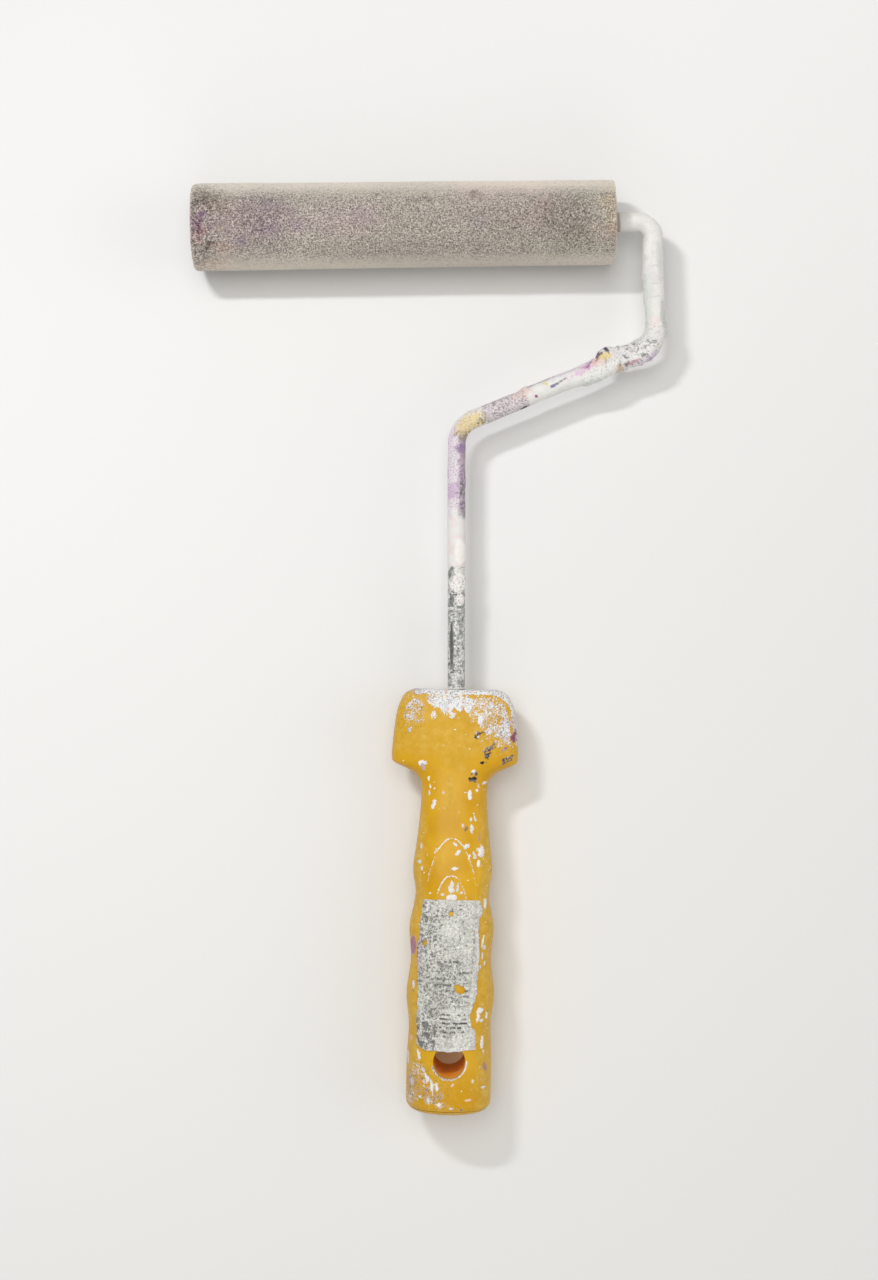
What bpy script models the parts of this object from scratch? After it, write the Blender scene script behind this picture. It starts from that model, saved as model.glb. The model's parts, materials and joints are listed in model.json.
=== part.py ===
"""Small paint roller: bent 6 mm rod frame, moulded handle, plug-on foam cover.

The roller lies flat, as it does on a bench.  Metres, +Z up.
  +Z  up from the bench
  +X  along the spin axis, from the cover's free end to the rod's bend
  +Y  from the handle's tail towards the cover (the longest extent)
The origin is the centre of the bounding box's bottom face.

Dimensions are millimetres.  The frame and cover are measured from the datum,
the middle of the cover on the spin axis.  Handle parts are measured by t, the
distance down the handle (its own -Y) from the guard's top face.
"Near" is the rod's bend end of the cover (+X), "far" its free end (-X).
"""
import math

import bmesh
import bpy
from mathutils import Vector

MM = 0.001
UP = Vector((0.0, 0.0, 1.0))
DATUM = (-8.786, 150.770, 15.400)         # from the scene origin

# rod
ROD_R = 3.0
ROD_END_CHAMFER = 0.8
AXLE_TIP_X = -68.0
AXLE_GROOVE_X = -60.0                     # middle of the retaining groove
AXLE_GROOVE_DEPTH = 0.30
AXLE_GROOVE_HALF_FLOOR = 0.6
AXLE_GROOVE_HALF_MOUTH = 0.9
PRESSED_GAP = 0.13                        # rod to collar and rod to washer
HANDLE_TOP = (16.75, -166.1)              # centre of the guard's top face
ROD_BENDS = (                             # corner (x, y), radius, arc steps
    ((88.9, 0.0), 6.0, 8),                # beside the cover
    ((89.7, -43.7), 10.0, 8),             # foot of the side leg
    ((18.0, -72.0), 10.0, 8),             # top of the shank
    (HANDLE_TOP, 60.0, 2),                # slight turn into the handle
)
ROD_END_T = 84.5

# stop collar on the axle
COLLAR_X = (71.3, 74.1)
COLLAR_R = 5.6
COLLAR_CHAMFER = 0.5

# snap joints between the bushes and the end plugs
NEAR_SNAP_X = 60.0
FAR_SNAP_X = -63.6
SNAP_HEIGHT = 0.4
RIDGE_HALF_WIDTHS = (0.3, 1.0)            # crest, foot
GROOVE_HALF_WIDTHS = (0.6, 1.3)           # floor, mouth

# bushes
BUSH_R = 5.0
BUSH_BORE_R = 3.14
BUSH_FLANGE_R = 6.4
BUSH_FLANGE_THICK = 1.2
BUSH_CHAMFER_LEN = 0.6
BUSH_CHAMFER_DEPTH = 0.5
NEAR_BUSH_X = (52.0, 70.9)                # flange at the second end
FAR_BUSH_X = (-69.2, -48.5)               # flange at the second end

# retaining spring and its groove in the far bush
SPRING_WIRE_R = 0.40
SPRING_RING_R = 3.56
SPRING_GAP = math.radians(28.0)
SPRING_STEPS = 24
SPRING_WIRE_SEGMENTS = 8
SPRING_GROOVE_HALF_WIDTH = 0.75
SPRING_GROOVE_R = SPRING_RING_R + SPRING_WIRE_R + 0.25

# end plugs
PLUG_R = 7.62
PLUG_FLANGE_R = 8.95
PLUG_BORE_R = 5.15
PLUG_CHAMFER = 0.6
PLUG_FACE_X = 74.7                        # outer face, both ends
PLUG_SHOULDER_X = 73.6                    # inner face of the flange, both ends
NEAR_PLUG_INNER_X = 54.0
NEAR_RECESS_FLOOR_X = 69.4
NEAR_RECESS_R = 6.9                       # clears the bush flange
FAR_PLUG_INNER_X = -50.0
FAR_CONE_X = -70.2                        # the blind bore narrows from here
FAR_BORE_FLOOR_X = -72.6
FAR_BORE_FLOOR_R = 3.0

# cover
COVER_LEN = 150.0
COVER_HALF = COVER_LEN / 2.0
COVER_R_FREE = 15.40                      # outer radius at the free end (-X)
COVER_R_BEND = 14.90                      # outer radius at the bend end (+X)
COVER_EDGE = 1.6                          # rounding of the foam's end edges
COVER_EDGE_STEPS = 5
FOAM_BORE_R = 9.25
CORE_R = 9.0
CORE_WALL = 1.2
CORE_LEN = 146.6

# handle
HANDLE_TILT = math.radians(-1.82)         # about +Z, from straight down -Y
HANDLE_SEGMENTS = 36
HANDLE_SHARP_DEG = 28.0
SOCKET_GAP = 0.14                         # rod to socket wall
SOCKET_ENDS_Y = (6.0, -82.0)
HANG_HOLE_T = 130.3
HANG_HOLE_R = 5.55
TUNNEL_R = 7.9                            # solid left round the hang hole
HOLE_HALF_DEPTH = 25.0

# tapered hollow in the handle, open at the tail
HOLLOW_TOP_T = 80.0
HOLLOW_TOP_HALVES = (9.4, 8.6)            # half width, half depth
HOLLOW_GROWTH = (2.1, 2.8)                # gained by each over the taper length
HOLLOW_TAPER_LEN = 70.0
HOLLOW_SEGMENTS = 28
HOLLOW_SECTIONS = (                       # t, shrink of the half sizes
    (HOLLOW_TOP_T, 1.0), (81.2, 0.0), (100.0, 0.0), (125.0, 0.0), (153.0, 0.0),
)

# tail cap: domed end with a hollow skirt
CAP_SEAM_T = 148.3                        # end of the moulding
CAP_TOP_T = CAP_SEAM_T + 0.3
CAP_OUTER_T = (CAP_TOP_T, 149.4, 150.1, 150.6)
SKIRT_END_T = 141.8
SKIRT_SECTIONS = (                        # t, shrink from the hollow
    (SKIRT_END_T, 0.8), (142.5, 0.32), (CAP_TOP_T, 0.32),
)
SKIRT_BORE_R = 8.6
SKIRT_BORE_FLOOR_T = 148.0

# label
LABEL_FROM_T = 74.0
LABEL_TO_T = 123.6
LABEL_STEPS = 10
LABEL_HALF_WIDTH = 10.7                   # limit, taken at LABEL_WIDTH_T
LABEL_WIDTH_T = 90.0
LABEL_LIFTS = (0.15, 0.40)                # inner and outer face above the skin

# Rod lock washer outline: y in the handle's axes, radius
WASHER_BORE_R = ROD_R + PRESSED_GAP
WASHER_PROFILE = (
    (-80.4, WASHER_BORE_R), (-81.5, WASHER_BORE_R), (-81.5, 5.0),
    (-81.0, 7.0), (-80.4, 7.0), (-80.4, 5.0),
)

# Loft stations: t, half width, half depth, squareness of the section
# (2 is an ellipse, larger is boxier).
HANDLE_STATIONS = (
    (0.0, 16.4, 7.6, 4.2),                # top face of the guard
    (0.5, 17.7, 8.3, 4.4),
    (1.6, 18.8, 8.9, 4.8),
    (3.6, 19.6, 9.3, 5.0),
    (7.0, 20.75, 9.4, 5.0),
    (15.0, 21.9, 9.4, 5.0),
    (23.4, 22.5, 9.4, 5.0),               # widest line of the guard
    (25.2, 22.35, 9.3, 4.8),
    (26.1, 21.4, 9.2, 4.5),               # under edge of the guard
    (27.5, 18.3, 9.2, 4.1),
    (29.3, 14.8, 9.2, 3.5),
    (32.1, 12.35, 9.2, 2.95),
    (35.0, 11.75, 9.25, 2.8),
    (37.5, 11.7, 9.3, 2.7),               # neck
    (46.4, 12.2, 9.8, 2.6),
    (56.0, 13.25, 10.6, 2.5),
    (63.8, 14.1, 11.3, 2.5),              # first finger swell
    (72.1, 13.0, 11.9, 2.4),
    (84.9, 14.95, 12.9, 2.4),             # second finger swell
    (94.9, 14.2, 13.5, 2.3),
    (108.2, 15.55, 14.2, 2.3),            # third finger swell
    (119.4, 14.5, 14.6, 2.3),
    (131.0, 15.0, 14.9, 2.2),
    (143.5, 15.1, 15.1, 2.2),
    (146.3, 14.95, 15.0, 2.2),
    (148.3, 13.9, 14.1, 2.2),
    (149.4, 12.8, 13.0, 2.2),
    (150.6, 10.0, 10.2, 2.2),             # flat end of the tail
)
# Further t values where the body gets an interpolated section
EXTRA_STATIONS = (4.9, 19.0, 28.4, 30.7, 33.5, 41.8, 51.2, 60.0, 67.9, 137.0)


# ---------------------------------------------------------------- scene helpers
def clear_scene():
    for obj in list(bpy.data.objects):
        bpy.data.objects.remove(obj, do_unlink=True)


def make_material(name, color, roughness, metallic=0.0):
    mat = bpy.data.materials.new(name)
    mat.use_nodes = True
    shader = mat.node_tree.nodes["Principled BSDF"]
    shader.inputs["Base Color"].default_value = (*color, 1.0)
    shader.inputs["Roughness"].default_value = roughness
    shader.inputs["Metallic"].default_value = metallic
    mat.diffuse_color = (*color, 1.0)
    return mat


def make_empty(name, location, rotation_z=0.0):
    empty = bpy.data.objects.new(name, None)
    empty.empty_display_size = 0.01
    empty.location = location
    empty.rotation_euler = (0.0, 0.0, rotation_z)
    bpy.context.scene.collection.objects.link(empty)
    return empty


def finish_mesh(name, bm, material, parent, sharp_deg=35.0):
    bmesh.ops.remove_doubles(bm, verts=bm.verts, dist=1e-7)
    bmesh.ops.recalc_face_normals(bm, faces=bm.faces)
    mesh = bpy.data.meshes.new(name)
    bm.to_mesh(mesh)
    bm.free()
    obj = bpy.data.objects.new(name, mesh)
    bpy.context.scene.collection.objects.link(obj)
    if material is not None:
        mesh.materials.append(material)
    mesh.shade_smooth()
    mesh.set_sharp_from_angle(angle=math.radians(sharp_deg))
    obj.parent = parent
    return obj


def finish_cutter(name, bm, parent):
    cutter = finish_mesh(name, bm, None, parent)
    cutter.hide_render = True
    cutter.display_type = "WIRE"
    return cutter


def cut(obj, cutter):
    mod = obj.modifiers.new("cut_" + cutter.name, "BOOLEAN")
    mod.operation = "DIFFERENCE"
    mod.object = cutter


# ---------------------------------------------------------------- shape helpers
def ring_angles(count, offset=0.0):
    """Evenly spaced angles, the first one offset by a fraction of a step."""
    return [2.0 * math.pi * (k + offset) / count for k in range(count)]


def circle_loop(bm, centre, side, other, radius, segments):
    return [bm.verts.new((centre + (side * math.cos(a) + other * math.sin(a)) * radius) * MM)
            for a in ring_angles(segments)]


def bridge(bm, loops):
    """Skin a row of equal loops and cap both ends."""
    count = len(loops[0])
    for this, following in zip(loops, loops[1:]):
        for k in range(count):
            j = (k + 1) % count
            bm.faces.new((this[k], this[j], following[j], following[k]))
    bm.faces.new(loops[0])
    bm.faces.new(loops[-1])


def turned(name, profile, material, parent, segments=32, axis=(1.0, 0.0, 0.0)):
    """Spin a closed (axial, radius) profile about an axis."""
    along = Vector(axis)
    bm = bmesh.new()
    verts = [bm.verts.new((along * place + UP * radius) * MM) for place, radius in profile]
    edges = []
    for i, vert in enumerate(verts):
        j = (i + 1) % len(verts)
        on_axis = profile[i][1] < 1e-9 and profile[j][1] < 1e-9
        if not on_axis:
            edges.append(bm.edges.new((vert, verts[j])))
    bmesh.ops.spin(bm, geom=verts + edges, cent=(0, 0, 0), axis=along,
                   angle=2.0 * math.pi, steps=segments, use_merge=True)
    return finish_mesh(name, bm, material, parent)


def snap_profile(middle, radius, half_widths):
    """Trapezoid bump in a turned profile, listed towards +X."""
    top, foot = half_widths
    return [(middle - foot, radius), (middle - top, radius + SNAP_HEIGHT),
            (middle + top, radius + SNAP_HEIGHT), (middle + foot, radius)]


def cylinder_cutter(name, radius, start, stop, parent, segments=28):
    """A round cutter between two points in its parent's axes."""
    ends = Vector(start), Vector(stop)
    along = (ends[1] - ends[0]).normalized()
    side = along.orthogonal().normalized()
    other = along.cross(side)
    bm = bmesh.new()
    bridge(bm, [circle_loop(bm, end, side, other, radius, segments) for end in ends])
    return finish_cutter(name, bm, parent)


# ---------------------------------------------------------------- rod frame
def filleted_path(start, bends, end):
    """(point, tangent) pairs from start through every rounded bend.

    The end point only sets the direction of the last leg and isn't returned.
    """
    corners = [Vector((x, y, 0.0)) for x, y in (start, *(bend[0] for bend in bends), end)]
    path = [(corners[0], (corners[1] - corners[0]).normalized())]
    for i, (_, radius, steps) in enumerate(bends, start=1):
        into = (corners[i] - corners[i - 1]).normalized()
        away = (corners[i + 1] - corners[i]).normalized()
        turn = into.angle(away)
        side = 1.0 if into.cross(away).z > 0.0 else -1.0
        normal = Vector((-into.y, into.x, 0.0)) * side
        arc_start = corners[i] - into * (radius * math.tan(turn / 2.0))
        centre = arc_start + normal * radius
        for k in range(steps + 1):
            angle = turn * k / steps
            tangent = into * math.cos(angle) + normal * math.sin(angle)
            point = (centre - normal * radius * math.cos(angle)
                     + into * radius * math.sin(angle))
            path.append((point, tangent))
    return path


def build_rod(material, parent):
    handle_dir = Vector((math.sin(HANDLE_TILT), -math.cos(HANDLE_TILT), 0.0))
    rod_end = Vector((*HANDLE_TOP, 0.0)) + handle_dir * ROD_END_T
    tip_r = ROD_R - ROD_END_CHAMFER
    groove_r = ROD_R - AXLE_GROOVE_DEPTH
    axle = (
        (AXLE_TIP_X, tip_r),
        (AXLE_TIP_X + ROD_END_CHAMFER, ROD_R),
        (AXLE_GROOVE_X - AXLE_GROOVE_HALF_MOUTH, ROD_R),
        (AXLE_GROOVE_X - AXLE_GROOVE_HALF_FLOOR, groove_r),
        (AXLE_GROOVE_X + AXLE_GROOVE_HALF_FLOOR, groove_r),
    )
    path = filleted_path((AXLE_GROOVE_X + AXLE_GROOVE_HALF_MOUTH, 0.0), ROD_BENDS, rod_end.xy)
    rings = [(Vector((x, 0.0, 0.0)), Vector((1.0, 0.0, 0.0)), radius) for x, radius in axle]
    rings += [(point, tangent, ROD_R) for point, tangent in path]
    rings += [(rod_end - handle_dir * ROD_END_CHAMFER, handle_dir, ROD_R),
              (rod_end, handle_dir, tip_r)]
    bm = bmesh.new()
    loops = []
    for centre, tangent, radius in rings:
        side = Vector((-tangent.y, tangent.x, 0.0)).normalized()
        loops.append(circle_loop(bm, centre, side, UP, radius, 20))
    bridge(bm, loops)
    finish_mesh("frame_rod", bm, material, parent)


def build_collar(material, parent):
    start, stop = COLLAR_X
    bore_r = ROD_R + PRESSED_GAP
    face_r = COLLAR_R - COLLAR_CHAMFER
    turned("stop_collar",
           ((start, bore_r), (stop, bore_r), (stop, face_r), (stop - COLLAR_CHAMFER, COLLAR_R),
            (start + COLLAR_CHAMFER, COLLAR_R), (start, face_r)),
           material, parent)


# ---------------------------------------------------------------- bushes
def bush_profile(ends, snap_x):
    """Bush from its chamfered end (-X) to its flanged end, then the bore's end."""
    start, stop = ends
    shoulder = stop - BUSH_FLANGE_THICK
    return [(start, BUSH_BORE_R), (start, BUSH_R - BUSH_CHAMFER_DEPTH),
            (start + BUSH_CHAMFER_LEN, BUSH_R),
            *snap_profile(snap_x, BUSH_R, RIDGE_HALF_WIDTHS),
            (shoulder, BUSH_R), (shoulder, BUSH_FLANGE_R),
            (stop, BUSH_FLANGE_R), (stop, BUSH_BORE_R)]


def build_bushes(material, parent):
    turned("near_bush", bush_profile(NEAR_BUSH_X, NEAR_SNAP_X), material, parent)
    groove_start = AXLE_GROOVE_X - SPRING_GROOVE_HALF_WIDTH
    groove_stop = AXLE_GROOVE_X + SPRING_GROOVE_HALF_WIDTH
    spring_groove = [(groove_stop, BUSH_BORE_R), (groove_stop, SPRING_GROOVE_R),
                     (groove_start, SPRING_GROOVE_R), (groove_start, BUSH_BORE_R)]
    turned("far_bush", bush_profile(FAR_BUSH_X, FAR_SNAP_X) + spring_groove, material, parent)


def build_spring(material, parent):
    """Split wire ring in the far bush's groove, round the axle's groove."""
    bm = bmesh.new()
    loops = []
    for k in range(SPRING_STEPS + 1):
        angle = SPRING_GAP / 2.0 + (2.0 * math.pi - SPRING_GAP) * k / SPRING_STEPS
        radial = Vector((0.0, math.sin(angle), math.cos(angle)))
        centre = Vector((AXLE_GROOVE_X, 0.0, 0.0)) + radial * SPRING_RING_R
        loops.append(circle_loop(bm, centre, radial, Vector((1.0, 0.0, 0.0)),
                                 SPRING_WIRE_R, SPRING_WIRE_SEGMENTS))
    bridge(bm, loops)
    finish_mesh("retaining_spring", bm, material, parent)


# ---------------------------------------------------------------- cover
def rounded_edge(end, radius):
    """Quarter round from the end face (x = end * COVER_HALF) onto the barrel."""
    points = []
    for k in range(COVER_EDGE_STEPS + 1):
        angle = math.pi / 2.0 * k / COVER_EDGE_STEPS
        points.append((end * (COVER_HALF - COVER_EDGE * (1.0 - math.cos(angle))),
                       radius - COVER_EDGE * (1.0 - math.sin(angle))))
    return points


def build_foam(material, parent):
    taper = (COVER_R_BEND - COVER_R_FREE) / COVER_LEN
    barrel = [(x, COVER_R_FREE + taper * (x + COVER_HALF))
              for x in (-COVER_HALF / 2.0, 0.0, COVER_HALF / 2.0)]
    profile = [(-COVER_HALF, FOAM_BORE_R), *rounded_edge(-1.0, COVER_R_FREE), *barrel,
               *rounded_edge(1.0, COVER_R_BEND)[::-1], (COVER_HALF, FOAM_BORE_R)]
    turned("foam_sleeve", profile, material, parent, segments=40)


def build_core(material, parent):
    end = CORE_LEN / 2.0
    bore_r = CORE_R - CORE_WALL
    turned("core_tube", ((-end, bore_r), (-end, CORE_R), (end, CORE_R), (end, bore_r)),
           material, parent)


def plug_outside(end, inner_x):
    """Outside of a plug, from its flange to the bore's mouth; end is +1 or -1."""
    return [(end * PLUG_FACE_X, PLUG_FLANGE_R), (end * PLUG_SHOULDER_X, PLUG_FLANGE_R),
            (end * PLUG_SHOULDER_X, PLUG_R), (inner_x + end * PLUG_CHAMFER, PLUG_R),
            (inner_x, PLUG_R - PLUG_CHAMFER), (inner_x, PLUG_BORE_R)]


def build_plugs(material, parent):
    near = [(PLUG_FACE_X, NEAR_RECESS_R), *plug_outside(1.0, NEAR_PLUG_INNER_X),
            *snap_profile(NEAR_SNAP_X, PLUG_BORE_R, GROOVE_HALF_WIDTHS),
            (NEAR_RECESS_FLOOR_X, PLUG_BORE_R), (NEAR_RECESS_FLOOR_X, NEAR_RECESS_R)]
    turned("near_end_plug", near, material, parent)
    far = [(-PLUG_FACE_X, 0.0), *plug_outside(-1.0, FAR_PLUG_INNER_X),
           *snap_profile(FAR_SNAP_X, PLUG_BORE_R, GROOVE_HALF_WIDTHS)[::-1],
           (FAR_CONE_X, PLUG_BORE_R), (FAR_BORE_FLOOR_X, FAR_BORE_FLOOR_R),
           (FAR_BORE_FLOOR_X, 0.0)]
    turned("far_end_plug", far, material, parent)


# ---------------------------------------------------------------- handle
def chord_slope(row, column):
    lower, upper = HANDLE_STATIONS[row], HANDLE_STATIONS[row + 1]
    return (upper[column] - lower[column]) / (upper[0] - lower[0])


def station_slope(row, column):
    """Slope at a station: harmonic mean of its chords, 0 at a peak or dip."""
    last = len(HANDLE_STATIONS) - 1
    if row == 0 or row == last:
        return chord_slope(min(row, last - 1), column)
    before, after = chord_slope(row - 1, column), chord_slope(row, column)
    if before * after <= 0.0:
        return 0.0
    return 2.0 * before * after / (before + after)


def handle_section(t):
    """Half width, half depth and squareness at t, by monotone cubic steps."""
    row = max(k for k in range(len(HANDLE_STATIONS) - 1) if HANDLE_STATIONS[k][0] <= t)
    lower, upper = HANDLE_STATIONS[row], HANDLE_STATIONS[row + 1]
    length = upper[0] - lower[0]
    u = (t - lower[0]) / length
    return [lower[column] * (2 * u ** 3 - 3 * u ** 2 + 1)
            + station_slope(row, column) * length * (u ** 3 - 2 * u ** 2 + u)
            + upper[column] * (-2 * u ** 3 + 3 * u ** 2)
            + station_slope(row + 1, column) * length * (u ** 3 - u ** 2)
            for column in (1, 2, 3)]


def section_point(t, angle, lift=0.0):
    """A point on the handle's skin, or lifted off it, in the handle's axes."""
    half_width, half_depth, squareness = handle_section(t)
    cosine, sine = math.cos(angle), math.sin(angle)
    power = 2.0 / squareness
    x = (half_width + lift) * math.copysign(abs(cosine) ** power, cosine)
    z = (half_depth + lift) * math.copysign(abs(sine) ** power, sine)
    return Vector((x, -t, z))


def skin_loops(bm, stations):
    return [[bm.verts.new(section_point(t, a) * MM) for a in ring_angles(HANDLE_SEGMENTS, 0.5)]
            for t in stations]


def oval_loop(bm, t, half_width, half_depth, segments):
    return [bm.verts.new(Vector((half_width * math.cos(a), -t, half_depth * math.sin(a))) * MM)
            for a in ring_angles(segments, 0.5)]


def hollow_loop(bm, t, shrink, segments):
    """Section of the tapered hollow, shrunk by a margin."""
    u = (t - HOLLOW_TOP_T) / HOLLOW_TAPER_LEN
    halves = [top + growth * u - shrink
              for top, growth in zip(HOLLOW_TOP_HALVES, HOLLOW_GROWTH)]
    return oval_loop(bm, t, *halves, segments)


def body_stations():
    label = [LABEL_FROM_T + (LABEL_TO_T - LABEL_FROM_T) * k / LABEL_STEPS
             for k in range(LABEL_STEPS + 1)]
    table = [row[0] for row in HANDLE_STATIONS if row[0] < CAP_SEAM_T]
    return sorted({*table, *label, *EXTRA_STATIONS, CAP_SEAM_T})


def build_handle_body(material, parent):
    bm = bmesh.new()
    bridge(bm, skin_loops(bm, body_stations()))
    body = finish_mesh("handle_body", bm, material, parent, HANDLE_SHARP_DEG)

    hole_ends = [(0, -HANG_HOLE_T, z) for z in (-HOLE_HALF_DEPTH, HOLE_HALF_DEPTH)]
    tunnel = cylinder_cutter("tunnel_shape", TUNNEL_R, *hole_ends, parent)
    hole = cylinder_cutter("hang_hole_cutter", HANG_HOLE_R, *hole_ends, parent)
    socket_ends = [(0, y, 0) for y in SOCKET_ENDS_Y]
    socket = cylinder_cutter("socket_cutter", ROD_R + SOCKET_GAP, *socket_ends, parent, 20)

    bm = bmesh.new()
    bridge(bm, [hollow_loop(bm, t, shrink, HOLLOW_SEGMENTS) for t, shrink in HOLLOW_SECTIONS])
    hollow = finish_cutter("hollow_cutter", bm, parent)
    # Taking the tunnel out of the hollow leaves a wall round the hang hole.
    cut(hollow, tunnel)
    for cutter in (hollow, socket, hole):
        cut(body, cutter)


def build_tail_cap(material, parent):
    """Loft from the skirt's bore floor, round its rim and out over the dome."""
    bm = bmesh.new()
    loops = [oval_loop(bm, t, SKIRT_BORE_R, SKIRT_BORE_R, HANDLE_SEGMENTS)
             for t in (SKIRT_BORE_FLOOR_T, SKIRT_END_T)]
    loops += [hollow_loop(bm, t, shrink, HANDLE_SEGMENTS) for t, shrink in SKIRT_SECTIONS]
    loops += skin_loops(bm, CAP_OUTER_T)
    bridge(bm, loops)
    finish_mesh("tail_cap", bm, material, parent)


def build_label(material, parent):
    """Paper label wrapped on the +Z side of the handle."""
    rows = [t for t in body_stations() if LABEL_FROM_T - 1e-6 <= t <= LABEL_TO_T + 1e-6]
    angles = [a for a in ring_angles(HANDLE_SEGMENTS, 0.5) if 0.0 < a < math.pi
              and abs(section_point(LABEL_WIDTH_T, a).x) <= LABEL_HALF_WIDTH]
    bm = bmesh.new()
    inner, outer = [[[bm.verts.new(section_point(t, a, lift) * MM) for a in angles]
                     for t in rows] for lift in LABEL_LIFTS]
    last_row, last_column = len(rows) - 1, len(angles) - 1
    for i in range(last_row):
        for j in range(last_column):
            for face in (inner, outer):
                bm.faces.new((face[i][j], face[i + 1][j], face[i + 1][j + 1], face[i][j + 1]))
        for j in (0, last_column):
            bm.faces.new((inner[i][j], inner[i + 1][j], outer[i + 1][j], outer[i][j]))
    for j in range(last_column):
        for i in (0, last_row):
            bm.faces.new((inner[i][j], inner[i][j + 1], outer[i][j + 1], outer[i][j]))
    finish_mesh("handle_label", bm, material, parent)


# ---------------------------------------------------------------- build
clear_scene()

zinc = make_material("zinc_rod", color=(0.47, 0.47, 0.45), roughness=0.45, metallic=0.85)
steel = make_material("spring_steel", color=(0.42, 0.42, 0.43), roughness=0.35, metallic=1.0)
yellow = make_material("handle_yellow", color=(0.63, 0.37, 0.045), roughness=0.48)
cap_yellow = make_material("cap_yellow", color=(0.58, 0.33, 0.04), roughness=0.5)
foam_grey = make_material("foam_grey", color=(0.36, 0.31, 0.28), roughness=0.95)
core_white = make_material("core_white", color=(0.72, 0.72, 0.70), roughness=0.5)
plug_grey = make_material("plug_grey", color=(0.30, 0.31, 0.32), roughness=0.5)
nylon = make_material("nylon_natural", color=(0.78, 0.76, 0.68), roughness=0.4)
paper = make_material("label_paper", color=(0.61, 0.60, 0.54), roughness=0.7)

datum = Vector(DATUM) * MM
frame_datum = make_empty("frame_datum", datum)
pull_axis = make_empty("cover_pull_axis", datum)
spin_axis = make_empty("roller_spin_axis", datum)
handle_datum = make_empty("handle_datum", datum + Vector((*HANDLE_TOP, 0.0)) * MM, HANDLE_TILT)

build_rod(zinc, frame_datum)
build_collar(steel, frame_datum)
build_bushes(nylon, pull_axis)
build_spring(steel, pull_axis)
build_foam(foam_grey, spin_axis)
build_core(core_white, spin_axis)
build_plugs(plug_grey, spin_axis)
build_handle_body(yellow, handle_datum)
turned("rod_lock_washer", WASHER_PROFILE, steel, handle_datum, segments=28, axis=(0.0, 1.0, 0.0))
build_tail_cap(cap_yellow, handle_datum)
build_label(paper, handle_datum)
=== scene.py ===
"""A small used paint roller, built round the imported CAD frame.

Shapes are worked out in millimetres from a datum at the middle of the cover on its spin
axis, and moved into place at the end.  The cover lies along X, the rod leaves it at +X and
comes back to the handle, which points towards -Y.  +Z is up from the bench.
"""
import json
import math
from itertools import product
from types import SimpleNamespace

import bmesh
import bpy
import numpy as np
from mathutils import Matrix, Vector


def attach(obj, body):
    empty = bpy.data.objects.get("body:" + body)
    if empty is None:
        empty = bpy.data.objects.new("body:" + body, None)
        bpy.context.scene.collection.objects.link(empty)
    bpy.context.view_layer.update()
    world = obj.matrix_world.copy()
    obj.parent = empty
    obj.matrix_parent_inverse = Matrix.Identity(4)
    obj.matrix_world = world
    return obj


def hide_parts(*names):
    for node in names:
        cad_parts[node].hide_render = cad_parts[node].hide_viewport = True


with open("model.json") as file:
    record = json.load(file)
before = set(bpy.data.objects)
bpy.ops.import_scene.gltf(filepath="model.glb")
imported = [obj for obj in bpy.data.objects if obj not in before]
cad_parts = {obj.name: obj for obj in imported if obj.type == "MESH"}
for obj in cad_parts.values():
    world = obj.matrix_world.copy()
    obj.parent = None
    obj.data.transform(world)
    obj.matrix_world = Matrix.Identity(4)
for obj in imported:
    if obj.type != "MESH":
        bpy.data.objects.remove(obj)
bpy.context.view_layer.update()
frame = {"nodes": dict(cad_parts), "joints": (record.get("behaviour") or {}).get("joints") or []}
MM = 0.001

SPIN = [joint for joint in frame["joints"] if joint["name"] == "roller_spin"][0]
DATUM = np.array(SPIN["pos_m"]) * 1000.0


# ------------------------------------------------------------------ noise and colour
def lattice_hash(cell, seed):
    """A number in 0..1 for each row of whole-numbered cell coordinates."""
    bits = (cell[:, 0].astype(np.uint32) * np.uint32(0x9E3779B1)
            ^ cell[:, 1].astype(np.uint32) * np.uint32(0x85EBCA77)
            ^ cell[:, 2].astype(np.uint32) * np.uint32(0xC2B2AE3D)
            ^ np.uint32((seed * 668265263 + 374761393) & 0xFFFFFFFF))
    bits ^= bits >> np.uint32(15)
    bits *= np.uint32(0x2C1B3C6D)
    bits ^= bits >> np.uint32(12)
    bits *= np.uint32(0x297A2D39)
    bits ^= bits >> np.uint32(15)
    return bits.astype(np.float64) / 4294967295.0


def value_noise(points, size, seed):
    """Value noise in 0..1, cells of the given size in mm (or one size per axis)."""
    scaled = points / size
    base = np.floor(scaled).astype(np.int64)
    part = scaled - base
    part = part * part * (3.0 - 2.0 * part)
    out = np.zeros(len(points))
    for corner in product((0, 1), repeat=3):
        weight = np.prod(np.where(np.array(corner) > 0, part, 1.0 - part), axis=1)
        out += weight * lattice_hash(base + np.array(corner), seed)
    return out


def fbm(points, size, octaves, seed):
    """Fractal noise, spread to about 0..1."""
    size = np.asarray(size, float)
    total, weight, out = 0.0, 1.0, 0.0
    for k in range(octaves):
        out = out + weight * value_noise(points + 17.3 * k, size / 2.0 ** k, seed + 11 * k)
        total += weight
        weight *= 0.5
    return np.clip((out / total - 0.5) * (1.25 + 0.12 * octaves) + 0.5, 0.0, 1.0)


def cells(points, size, seed):
    """Distance to the nearest cell point, in cell sizes, and that cell's own number."""
    scaled = points / size
    base = np.floor(scaled).astype(np.int64)
    best = np.full(len(points), 9.0)
    ident = np.zeros(len(points))
    for step in product((-1, 0, 1), repeat=3):
        cell = base + np.array(step)
        jitter = np.stack([lattice_hash(cell, seed + k) for k in (1, 2, 3)], 1)
        dist = np.linalg.norm(cell + jitter - scaled, axis=1)
        near = dist < best
        best = np.where(near, dist, best)
        ident = np.where(near, lattice_hash(cell, seed + 7), ident)
    return best, ident


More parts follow.
